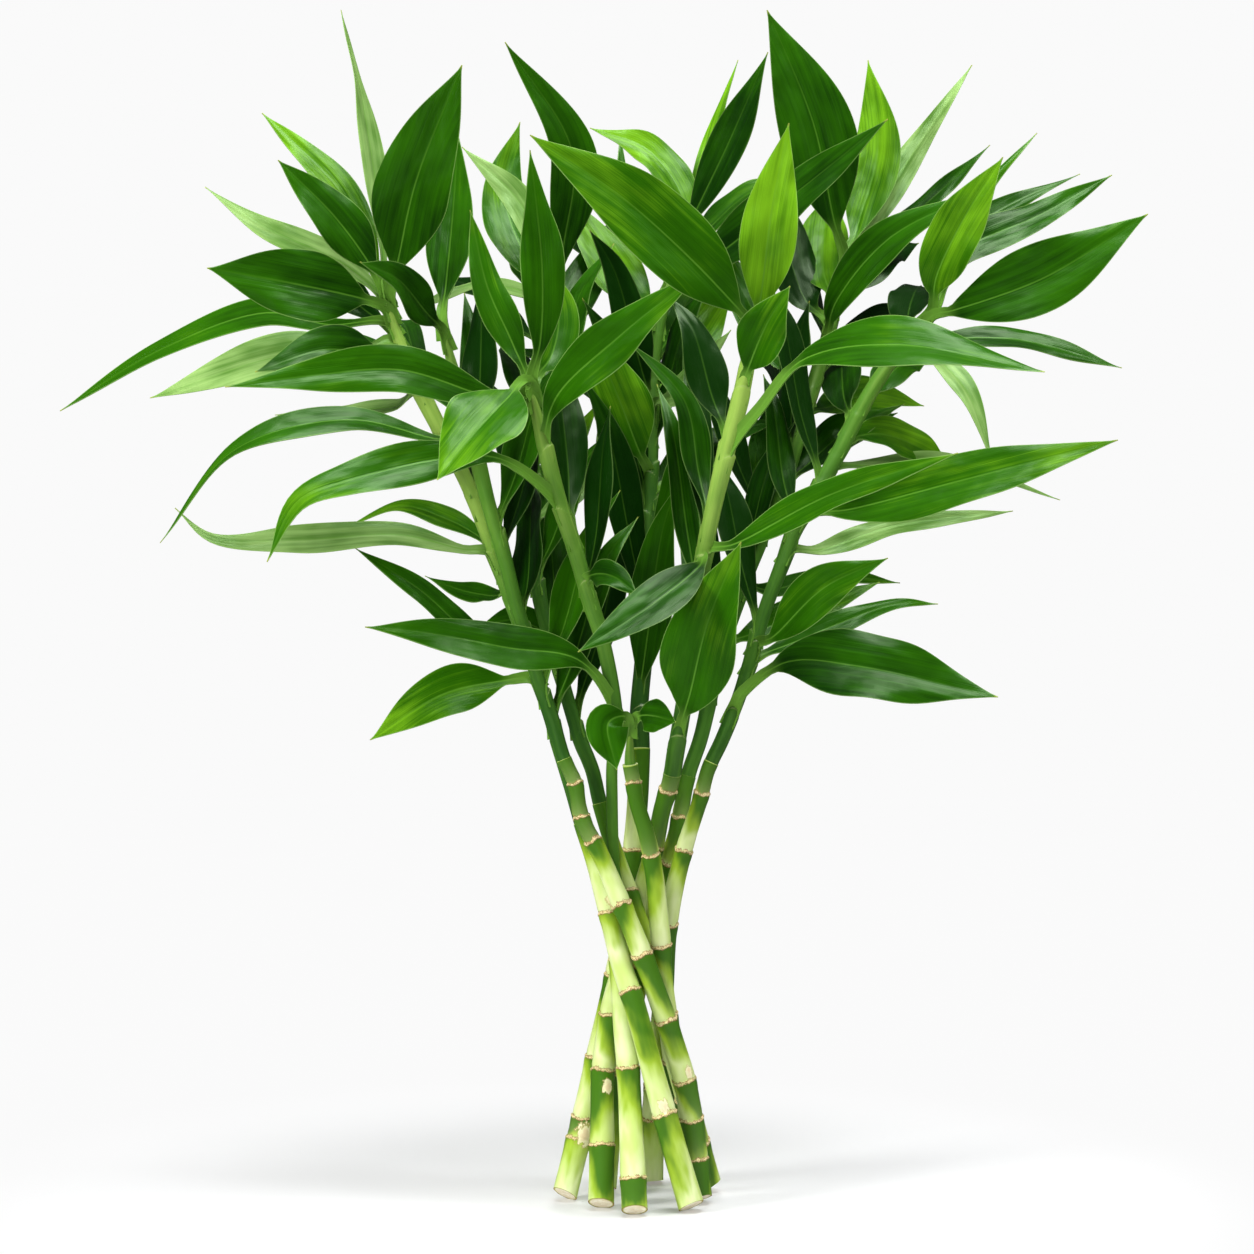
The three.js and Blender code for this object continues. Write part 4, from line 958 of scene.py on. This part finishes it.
def make_cane(name, stalk, draw, finish, cut_finish):
    centre = stalk.at(stalk.foot)[0]
    foot = as_seen([centre[0], centre[1], 0])[1]
    low = max(foot - FOOT_STUB, stalk.h[0])
    spans = np.array([low] + stalk.rings + [stalk.seam])
    plain = np.arange(low, stalk.seam, CANE_ROW)
    fine = np.concatenate([np.array(RING_ROWS) + ring for ring in stalk.rings])
    clear = [abs(h - np.array(stalk.rings)).min() > RING_ROWS[-1] + RING_CLEAR for h in plain]
    fine = fine[fine < stalk.seam - SEAM_CLEAR]
    heights = np.unique(np.concatenate([plain[clear], fine, [low, stalk.seam]]))
    waves = []
    for _ in stalk.rings:
        waves.append([draw(*FEW_WAVES) // 1, draw(*WAVE_START), draw(*MANY_WAVES) // 1, draw(*WAVE_START)])

    def ring_line(n, angle):
        few, lag, many, late = waves[n]
        return (FEW_DEEP * np.sin(few * angle + lag) + MANY_DEEP * np.sin(many * angle + late)) * RING_UNEVEN

    # Distance from the nearest scar, in its radii
    def scar_at(height, angle):
        far = np.full_like(height, SCAR_FAR)
        for up, turn, wide in SCARS.get(name, []):
            off = np.angle(np.exp(1j * (angle - math.radians(turn)))) * stalk.radius(up)
            far = np.minimum(far, np.hypot(off, (height - up) * SCAR_SQUASH) / wide)
        return far

    def radius_of(height, angle):
        radius = stalk.radius(height)
        for n, ring in enumerate(stalk.rings):
            off = height - ring - ring_line(n, angle)
            for out, above, wide in RING_PROFILE:
                radius = radius + out * np.exp(-((off - above) / wide) ** 2)
        n = np.clip(np.searchsorted(spans, height) - 1, 0, len(spans) - 2)
        t = (height - spans[n]) / np.maximum(spans[n + 1] - spans[n], 1)
        knob = KNOB_OUT * np.exp(-(scar_at(height, angle) / KNOB_WIDE) ** 2)
        return radius - WAIST * np.sin(np.pi * np.clip(t, 0, 1)) + knob

    piece, height, angle = roll("ringed_cane_" + name, stalk, heights, CANE_SIDES, radius_of)
    band = np.zeros_like(height)
    above = np.zeros_like(height)
    ring = np.full_like(height, RING_FAR)
    for n, (start, end) in enumerate(zip(spans, spans[1:])):
        line = ring_line(n, angle) if n < len(stalk.rings) else 0
        first = ring_line(n - 1, angle) if n > 0 else 0
        mine = (height >= start + first) & (height < end + line)
        dark, lowest = BANDS[name][n]
        share = dark * (1 + draw(*BAND_UNEVEN) * np.cos(angle - math.radians(lowest)))
        below = (end + line - height) / (end - start)
        band = np.where(mine, 0.5 + (share - below) * BAND_EDGE, band)
        above = np.where(mine, np.exp(-(height - start - first) / PALE_RUN), above)
    for n, at in enumerate(stalk.rings):
        ring = np.minimum(ring, np.abs(height - at - ring_line(n, angle) - RING_LIFT))
    note(piece, band=band, ring=ring, above=above, scar=scar_at(height, angle))
    close_up(piece)
    piece.data.materials.append(finish)
    piece.data.materials.append(cut_finish)
    cut_foot(piece, stalk, foot)
    smooth(piece, CANE_CREASE)
    return piece


# Small helpers for the finishes
class Finish:
    def __init__(self, name):
        self.material = bpy.data.materials.new(name)
        self.material.use_nodes = True
        self.tree = self.material.node_tree
        self.shader = self.tree.nodes["Principled BSDF"]

    # Links a socket to the value that another node makes, or sets it to a plain one
    def feed(self, socket, value):
        if isinstance(value, bpy.types.NodeSocket):
            self.tree.links.new(value, socket)
        elif isinstance(value, tuple):
            socket.default_value = value + (1,) * (len(socket.default_value) - len(value))
        else:
            socket.default_value = value

    def put(self, name, value):
        self.feed(self.shader.inputs[name], value)

    def node(self, kind, *values, **settings):
        node = self.tree.nodes.new(kind)
        for key, value in settings.items():
            setattr(node, key, value)
        for socket, value in zip([s for s in node.inputs if s.enabled], values):
            self.feed(socket, value)
        return node

    def read(self, name, output="Fac"):
        return self.node("ShaderNodeAttribute", attribute_name=name).outputs[output]

    def add(self, a, b):
        return self.node("ShaderNodeMath", a, b, operation="ADD").outputs[0]

    def less(self, a, b):
        return self.node("ShaderNodeMath", a, b, operation="SUBTRACT").outputs[0]

    def times(self, a, b):
        return self.node("ShaderNodeMath", a, b, operation="MULTIPLY").outputs[0]

    # A value moved up and down by a pattern that runs from 0 to 1
    def vary(self, value, pattern, amount, middle=0.5):
        return self.add(value, self.times(self.less(pattern, middle), amount))

    # Rises smoothly from 0 to 1 as a value goes between two limits
    def rise(self, value, low, high):
        node = self.node("ShaderNodeMapRange", value, low, high, interpolation_type="SMOOTHSTEP")
        return node.outputs["Result"]

    # Falls smoothly from 1 to 0 between two limits
    def fall(self, value, low, high):
        return self.less(1.0, self.rise(value, low, high))

    # A cloudy pattern: how many swirls to a unit in each direction, how fine and how rough
    def noise(self, vector, swirls, detail, rough):
        stretched = self.node("ShaderNodeVectorMath", vector, swirls, operation="MULTIPLY")
        return self.node("ShaderNodeTexNoise", stretched.outputs[0], 1, detail, rough).outputs["Fac"]

    def mix(self, share, a, b):
        node = self.node("ShaderNodeMix", share, a, b, data_type="RGBA")
        return [s for s in node.outputs if s.enabled][0]

    def bump(self, height, strength, distance):
        node = self.node("ShaderNodeBump", strength, distance)
        self.feed(node.inputs["Height"], height)
        self.put("Normal", node.outputs["Normal"])


# Colours of a leaf, from its darkest green to its brightest, and of its parts. The darkest green, near
# black, is painted shade on leaves deep in the bunch.
LEAF_DARK_SHADE = (0.003, 0.024, 0.001)
LEAF_GREEN = (0.021, 0.112, 0.001)
LEAF_BRIGHT = (0.200, 0.480, 0.012)
# Sage green: partly the leaf's own colour, partly painted sheen and backlit glow
LEAF_SAGE = (0.070, 0.170, 0.030)
LEAF_SAGE_PALE_SHEEN = (0.270, 0.430, 0.140)
LEAF_UNDER = (0.075, 0.170, 0.035)
LEAF_UNDER_PALE = (0.130, 0.290, 0.085)
LEAF_RIB = (0.120, 0.310, 0.030)
LEAF_EDGE = (0.300, 0.500, 0.130)
LEAF_STALK = (0.135, 0.310, 0.035)
LEAF_TIP = (0.330, 0.360, 0.060)

# Patterns on a leaf: swirls to a millimetre across it and along it
LEAF_STREAKS = ((0.42, 0.012, 1.0), 3.0, 0.6)
LEAF_CLOUDS = ((0.07, 0.03, 1.0), 2.0, 0.5)
LEAF_VEINS = ((2.1, 0.008, 1.0), 1.0, 0.5)
LEAF_SWELLS = ((0.14, 0.06, 1.0), 1.0, 0.5)

# How far each pattern, and the place along the blade, move the tone of a leaf: the place along it paints
# shade towards the base and light towards the tip
STREAK_SHADE = 0.9
CLOUD_SHADE = 1.2
VEIN_SHADE = 0.45
BASE_SHADE_TIP_LIGHT = 0.45
BASE_SHADE_MIDDLE = 0.45

# Where a leaf's tones and parts begin and end. Tones run from dark to bright, rib and edge in
# millimetres from the middle and the rim, the others in shares of the blade's length.
DARK_TO_GREEN = (-0.9, 0.25)
GREEN_TO_BRIGHT = (0.1, 1.2)
SAGE_TONES = (0.85, 1.0)
SAGE_CLOUDS = (0.6, 1.1)
UNDER_VEINS = (0.3, 0.75)
LIT_TONES = (-0.9, 0.2)
RIB_LINE = (0.15, 0.6)
RIB_FADES = (0.1, 0.9)
EDGE_LINE = (0.1, 0.5)
BLADE_BEGINS = (-0.06, 0.09)
TIP_BEGINS = (0.975, 1.0)

# How strongly each part shows
SAGE_STREAKS = 0.7
SAGE_SHARE = 0.9
UNDER_SHARE = 0.75
RIB_SHARE = 0.65
RIB_FADE = 0.55
LIT_LEAST = 0.35
LIT_MORE = 0.65
EDGE_SHARE = 0.5
STALK_SHARE = 0.85
TIP_COLOUR_SHARE = 0.8

# Shine of a leaf, and the relief of its skin: strength and depth
LEAF_ROUGH = 0.26
STREAK_ROUGH = 0.14
UNDER_ROUGH = 0.14
LEAF_SHINE = 0.28
LEAF_SHINE_TINT = (0.680, 1.000, 0.550)
STREAK_RELIEF = 0.8
SWELL_RELIEF = 14.0
LEAF_RELIEF = (0.3, 0.0003)


def leaf_finish():
    f = Finish("glossy_leaf")
    skin = f.read("skin", "Vector")
    grown = f.read("grown")
    edge = f.read("edge")
    under = f.read("under")
    tone = f.read("tone")
    streaks = f.noise(skin, *LEAF_STREAKS)
    clouds = f.noise(skin, *LEAF_CLOUDS)
    veins = f.noise(skin, *LEAF_VEINS)
    shade = f.vary(tone, streaks, STREAK_SHADE)
    shade = f.vary(shade, clouds, CLOUD_SHADE)
    # Painted shade darkens the blade towards its base and painted light brightens it towards the tip
    shade = f.vary(shade, grown, BASE_SHADE_TIP_LIGHT, BASE_SHADE_MIDDLE)
    shade = f.vary(shade, veins, VEIN_SHADE)
    # The darkest green is painted shade
    body = f.mix(f.rise(shade, *DARK_TO_GREEN), LEAF_DARK_SHADE, LEAF_GREEN)
    body = f.mix(f.rise(shade, *GREEN_TO_BRIGHT), body, LEAF_BRIGHT)

    # Sage green leaves, their pale sage partly their own colour and partly painted sheen and backlit glow,
    # and the paler underside
    mottled = f.add(clouds, f.times(streaks, SAGE_STREAKS))
    sage_and_sheen = f.mix(f.rise(mottled, *SAGE_CLOUDS), LEAF_SAGE, LEAF_SAGE_PALE_SHEEN)
    body = f.mix(f.times(f.rise(tone, *SAGE_TONES), SAGE_SHARE), body, sage_and_sheen)
    pale = f.mix(f.rise(veins, *UNDER_VEINS), LEAF_UNDER, LEAF_UNDER_PALE)
    body = f.mix(f.times(under, UNDER_SHARE), body, pale)

    # Rib and edge, weaker on the darkest leaves
    across = f.node("ShaderNodeSeparateXYZ", skin).outputs["X"]
    off = f.node("ShaderNodeMath", across, operation="ABSOLUTE").outputs[0]
    line = f.fall(off, *RIB_LINE)
    fading = f.less(RIB_SHARE, f.times(f.rise(grown, *RIB_FADES), RIB_FADE))
    lit = f.add(LIT_LEAST, f.times(f.rise(tone, *LIT_TONES), LIT_MORE))
    body = f.mix(f.times(f.times(line, fading), lit), body, LEAF_RIB)
    near = f.fall(edge, *EDGE_LINE)
    body = f.mix(f.times(f.times(near, lit), EDGE_SHARE), body, LEAF_EDGE)

    # The leaf's own stalk, and its tip
    body = f.mix(f.times(f.fall(grown, *BLADE_BEGINS), STALK_SHARE), body, LEAF_STALK)
    body = f.mix(f.times(f.rise(grown, *TIP_BEGINS), TIP_COLOUR_SHARE), body, LEAF_TIP)
    f.put("Base Color", body)

    rough = f.add(LEAF_ROUGH, f.times(streaks, STREAK_ROUGH))
    f.put("Roughness", f.add(rough, f.times(under, UNDER_ROUGH)))
    f.put("Specular IOR Level", LEAF_SHINE)
    f.put("Specular Tint", LEAF_SHINE_TINT)
    relief = f.add(veins, f.times(streaks, STREAK_RELIEF))
    swells = f.noise(skin, *LEAF_SWELLS)
    f.bump(f.add(relief, f.times(swells, SWELL_RELIEF)), *LEAF_RELIEF)
    return f.material


STEM_DARK = (0.022, 0.090, 0.010)
STEM_GREEN = (0.080, 0.220, 0.020)
STEM_LIME = (0.360, 0.560, 0.095)
STEM_LIP = (0.420, 0.520, 0.200)

# Patterns on a stem: swirls to a millimetre round it, round it and up it, and how far they move its
# green, which runs from 0 dark to 1 lime
STEM_STREAKS = ((0.55, 0.55, 0.03), 3.0, 0.6)
STEM_CLOUDS = ((0.12, 0.12, 0.05), 2.0, 0.5)
STEM_STREAK_SHADE = 0.45
STEM_CLOUD_SHADE = 0.35
STEM_DARK_TO_GREEN = (-0.1, 0.5)
STEM_GREEN_TO_LIME = (0.35, 1.15)
LIP_BEGINS = (0.5, 1.0)
LIP_SHARE = 0.55
STEM_ROUGH = 0.38
STEM_RELIEF = (0.25, 0.0004)


def stem_finish():
    f = Finish("shoot_stem")
    skin = f.read("skin", "Vector")
    streaks = f.noise(skin, *STEM_STREAKS)
    clouds = f.noise(skin, *STEM_CLOUDS)
    level = f.vary(f.read("lime"), streaks, STEM_STREAK_SHADE)
    level = f.vary(level, clouds, STEM_CLOUD_SHADE)
    body = f.mix(f.rise(level, *STEM_DARK_TO_GREEN), STEM_DARK, STEM_GREEN)
    body = f.mix(f.rise(level, *STEM_GREEN_TO_LIME), body, STEM_LIME)
    body = f.mix(f.times(f.rise(f.read("lip"), *LIP_BEGINS), LIP_SHARE), body, STEM_LIP)
    f.put("Base Color", body)
    f.put("Roughness", STEM_ROUGH)
    f.bump(streaks, *STEM_RELIEF)
    return f.material


CANE_PALE = (0.520, 0.670, 0.180)
CANE_CREAM = (0.740, 0.820, 0.440)
CANE_LIME = (0.330, 0.490, 0.030)
CANE_DARK = (0.052, 0.160, 0.007)
CANE_ABOVE_RING = (0.600, 0.660, 0.260)
CRUST_BROWN = (0.250, 0.110, 0.030)
CRUST_TAN = (0.780, 0.660, 0.330)
CRUST_RIM = (0.230, 0.110, 0.030)
SCAR_TAN = (0.780, 0.640, 0.380)
SCAR_PALE = (0.820, 0.780, 0.480)
SCAR_RIM = (0.420, 0.290, 0.100)

# Patterns on a cane: swirls to a millimetre round it, round it and up it
CANE_STREAKS = ((0.45, 0.45, 0.035), 3.0, 0.55)
CANE_CLOUDS = ((0.11, 0.11, 0.045), 2.0, 0.5)
CANE_SPECKS = ((1.6, 1.6, 2.2), 3.0, 0.65)
CANE_FRAYS = ((0.5, 0.5, 0.25), 2.0, 0.6)

# How far the patterns move the edges of dark bands, rings and scars
BAND_CLOUDS = 1.6
BAND_STREAKS = 0.2
RING_SPECKS = 3.2
RING_FRAYS = 2.6
SCAR_SPECKS = 0.5
SCAR_FRAYS = 1.7

# Where the cane's greens change, and where the crust of a ring and a scar begin and end
CREAM_CLOUDS = (0.3, 0.7)
PALE_TO_LIME = (0.0, 0.55)
LIME_TO_DARK = (0.35, 1.05)
ABOVE_SHARE = 0.3
CRUST_ENDS = (0.7, 0.95)
CRUST_GRAIN = (0.40, 0.50)
CRUST_RIM_BEGINS = (0.45, 0.8)
SCAR_PALES = (0.2, 0.7)
SCAR_RIM_BEGINS = (0.72, 0.9)
SCAR_ENDS = (0.75, 1.05)

CANE_ROUGH = 0.34
CRUST_ROUGH = 0.4
CANE_STREAK_RELIEF = 0.25
CANE_RELIEF = (0.5, 0.0006)


def cane_finish():
    f = Finish("ringed_cane")
    skin = f.read("skin", "Vector")
    streaks = f.noise(skin, *CANE_STREAKS)
    clouds = f.noise(skin, *CANE_CLOUDS)
    specks = f.noise(skin, *CANE_SPECKS)
    frays = f.noise(skin, *CANE_FRAYS)
    level = f.vary(f.vary(f.read("band"), clouds, BAND_CLOUDS), streaks, BAND_STREAKS)
    pale = f.mix(f.rise(clouds, *CREAM_CLOUDS), CANE_PALE, CANE_CREAM)
    body = f.mix(f.rise(level, *PALE_TO_LIME), pale, CANE_LIME)
    body = f.mix(f.rise(level, *LIME_TO_DARK), body, CANE_DARK)
    body = f.mix(f.times(f.read("above"), ABOVE_SHARE), body, CANE_ABOVE_RING)

    # The ragged dry crust of each ring
    ragged = f.vary(f.vary(f.read("ring"), specks, RING_SPECKS), frays, RING_FRAYS)
    crust = f.fall(ragged, *CRUST_ENDS)
    tan = f.mix(f.rise(specks, *CRUST_GRAIN), CRUST_BROWN, CRUST_TAN)
    tan = f.mix(f.rise(ragged, *CRUST_RIM_BEGINS), tan, CRUST_RIM)
    body = f.mix(crust, body, tan)

    # Scars of old side shoots
    worn = f.vary(f.vary(f.read("scar"), specks, SCAR_SPECKS), frays, SCAR_FRAYS)
    worn_tan = f.mix(f.rise(worn, *SCAR_PALES), SCAR_TAN, SCAR_PALE)
    worn_tan = f.mix(f.rise(worn, *SCAR_RIM_BEGINS), worn_tan, SCAR_RIM)
    body = f.mix(f.fall(worn, *SCAR_ENDS), body, worn_tan)
    f.put("Base Color", body)
    f.put("Roughness", f.add(CANE_ROUGH, f.times(crust, CRUST_ROUGH)))
    relief = f.add(f.times(specks, crust), f.times(streaks, CANE_STREAK_RELIEF))
    f.bump(relief, *CANE_RELIEF)
    return f.material


PITH = (0.800, 0.700, 0.500)
PITH_PALE = (0.920, 0.870, 0.700)
PITH_GRAIN = (0.560, 0.420, 0.230)
PITH_GREEN = (0.520, 0.540, 0.160)
PITH_RIM = (0.270, 0.130, 0.030)

# Patterns on a cut: swirls to a metre. Its green and brown rims begin at shares of its radius.
CUT_GRAIN = ((900.0, 900.0, 900.0), 3.0, 0.6)
CUT_BLOTS = ((260.0, 260.0, 260.0), 2.0, 0.5)
PALE_BLOTS = (0.35, 0.7)
DARK_GRAIN = (0.5, 0.75)
GRAIN_SHARE = 0.4
GREEN_RIM = (0.78, 0.86)
BROWN_RIM = (0.86, 0.93)
CUT_ROUGH = 0.75
CUT_RELIEF = (0.4, 0.0005)


def cut_finish():
    f = Finish("cut_pith")
    core = f.read("core")
    spot = f.node("ShaderNodeTexCoord").outputs["Object"]
    grain = f.noise(spot, *CUT_GRAIN)
    pith = f.mix(f.rise(f.noise(spot, *CUT_BLOTS), *PALE_BLOTS), PITH, PITH_PALE)
    pith = f.mix(f.times(f.rise(grain, *DARK_GRAIN), GRAIN_SHARE), pith, PITH_GRAIN)
    pith = f.mix(f.rise(core, *GREEN_RIM), pith, PITH_GREEN)
    pith = f.mix(f.rise(core, *BROWN_RIM), pith, PITH_RIM)
    f.put("Base Color", pith)
    f.put("Roughness", CUT_ROUGH)
    f.bump(grain, *CUT_RELIEF)
    return f.material


WHITE = (1, 1, 1)
BLACK = (0, 0, 0)
STAGE_TINT = (0.600, 0.603, 0.608)
STAGE_ROUGH = 0.9
STAGE_SHINE = 0.1
GLOW_NEAR = 0.165
GLOW_FAR = 0.955
GLOW_BEGINS = (0.12, 0.36)


# A pale stage that catches soft shadows near the middle and glows evenly further out
def stage_finish():
    f = Finish("pale_stage")
    spot = f.node("ShaderNodeTexCoord").outputs["Object"]
    far = f.node("ShaderNodeVectorMath", spot, operation="LENGTH").outputs["Value"]
    out = f.rise(far, *GLOW_BEGINS)
    f.put("Base Color", f.mix(out, STAGE_TINT, BLACK))
    f.put("Roughness", STAGE_ROUGH)
    f.put("Specular IOR Level", STAGE_SHINE)
    f.put("Emission Color", WHITE)
    f.put("Emission Strength", f.add(GLOW_NEAR, f.times(out, GLOW_FAR - GLOW_NEAR)))
    return f.material


# The stage, in metres
FLOOR_RADIUS = 0.6
FLOOR_ABOVE = 0.0002
STAGE_RADIUS = 3.4
STAGE_SWEEP = 1.4
STAGE_HIGH = 3.2
STAGE_SIDES = 96
SWEEP_STEPS = 12


def pale_disk(name, radius, height, finish):
    deselect()
    bpy.ops.mesh.primitive_circle_add(vertices=STAGE_SIDES, radius=radius, fill_type="NGON",
                                      location=(0, 0, height))
    bpy.ops.object.transform_apply(location=True)
    disk = bpy.context.object
    disk.name = name
    disk.data.materials.append(finish)
    disk.visible_glossy = False
    return disk


# A pale floor to stand on, and a pale backdrop round it that sweeps up into a wall
def make_floor(finish):
    floor = pale_disk("floor", FLOOR_RADIUS, 0, finish)


def make_backdrop(finish):
    reach = STAGE_RADIUS - STAGE_SWEEP
    high = -FLOOR_ABOVE
    backdrop = pale_disk("backdrop", reach, high, finish)
    open_mesh(backdrop)
    bpy.ops.mesh.select_mode(type="EDGE")
    bpy.ops.mesh.region_to_loop()
    for n in range(1, SWEEP_STEPS + 1):
        turn = math.pi / 2 * n / SWEEP_STEPS
        next_reach = STAGE_RADIUS - STAGE_SWEEP + STAGE_SWEEP * math.sin(turn)
        next_high = STAGE_SWEEP * (1 - math.cos(turn))
        bpy.ops.mesh.extrude_region_move(TRANSFORM_OT_translate={"value": (0, 0, next_high - high)})
        bpy.ops.transform.resize(value=(next_reach / reach, next_reach / reach, 1))
        reach = next_reach
        high = next_high
    bpy.ops.mesh.extrude_region_move(TRANSFORM_OT_translate={"value": (0, 0, STAGE_HIGH - high)})
    close_mesh()
    backdrop.visible_diffuse = False
    backdrop.visible_shadow = False


# Lamps, in metres and watts: name, place, aim, size, power, tint, whether the leaves mirror it
LAMPS = [
    ["top_softbox", (0.3, -0.6, 2.2), (0, 0, 0.3), (1.2, 1.0), 50, WHITE, True],
    ["left_softbox", (-1.7, -1.1, 1.1), (0, 0, 0.35), (0.5, 1.2), 40, (1, 1, 0.98), False],
    ["right_softbox", (1.8, -0.6, 1.4), (0, 0, 0.35), (0.5, 1.2), 19, (0.98, 1, 1), False],
    ["back_softbox", (0.2, 1.9, 1.5), (0, 0, 0.4), (1.2, 0.8), 34, WHITE, False],
    ["low_softbox", (-0.5, -1.7, 0.25), (0, 0, 0.12), (0.9, 0.4), 13, WHITE, False],
]
WORLD_LIGHT = 0.05


def make_lamp(name, spot, aim, size, power, tint, mirrored):
    lamp = bpy.data.lights.new(name, "AREA")
    lamp.shape = "RECTANGLE"
    lamp.size, lamp.size_y = size
    lamp.energy = power
    lamp.color = tint
    light = bpy.data.objects.new(name, lamp)
    bpy.context.collection.objects.link(light)
    light.location = spot
    light.rotation_euler = (Vector(aim) - Vector(spot)).to_track_quat("-Z", "Y").to_euler()
    light.visible_glossy = mirrored


def make_world():
    world = bpy.data.worlds.new("studio")
    bpy.context.scene.world = world
    world.use_nodes = True
    background = world.node_tree.nodes["Background"]
    background.inputs["Color"].default_value = WHITE + (1,)
    background.inputs["Strength"].default_value = WORLD_LIGHT


def make_camera():
    lens = bpy.data.cameras.new("photo_camera")
    lens.sensor_fit = "HORIZONTAL"
    lens.angle = 2 * math.atan(PHOTO_WIDE / 2 / -EYE[1])
    camera = bpy.data.objects.new("photo_camera", lens)
    bpy.context.collection.objects.link(camera)
    camera.location = (EYE - MIDDLE) * MM
    camera.rotation_euler = (math.pi / 2, 0, 0)
    bpy.context.scene.camera = camera


stalks = {name: Stalk(facts) for name, facts in STALKS.items()}
settle(stalks)
leaves = lay_leaves(stalks)

make_camera()
leaf_look = leaf_finish()
stem_look = stem_finish()
cane_look = cane_finish()
cut_look = cut_finish()

tone_draw = Draw(TONE_SEED).between
tones = {}
for leaf in leaves:
    drawn = tone_draw(*(FILL_TONE_SHADED if leaf.fill else LEAF_TONE))
    tones[leaf.number] = TONES.get(leaf.number, drawn)

blade = model_blade()
shape_draw = Draw(SHAPE_SEED).between
for name, stalk in stalks.items():
    mine = [leaf for leaf in leaves if leaf.stalk == name]
    shoot = "leafy_shoot_" + name
    foliage = make_leaves(name, mine, blade, tones, shape_draw, leaf_look)
    stem = make_stem(name, stalk, mine, stem_look)
    for piece in (foliage, stem):
        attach(piece, "root")
        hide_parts(shoot)
    cane = make_cane(name, stalk, shape_draw, cane_look, cut_look)
    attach(cane, "root")
    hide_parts("cane_" + name)
bpy.data.objects.remove(blade)

stage_look = stage_finish()
make_floor(stage_look)
make_backdrop(stage_look)
make_world()
for lamp in LAMPS:
    make_lamp(*lamp)
bpy.context.scene.view_settings.view_transform = "Standard"
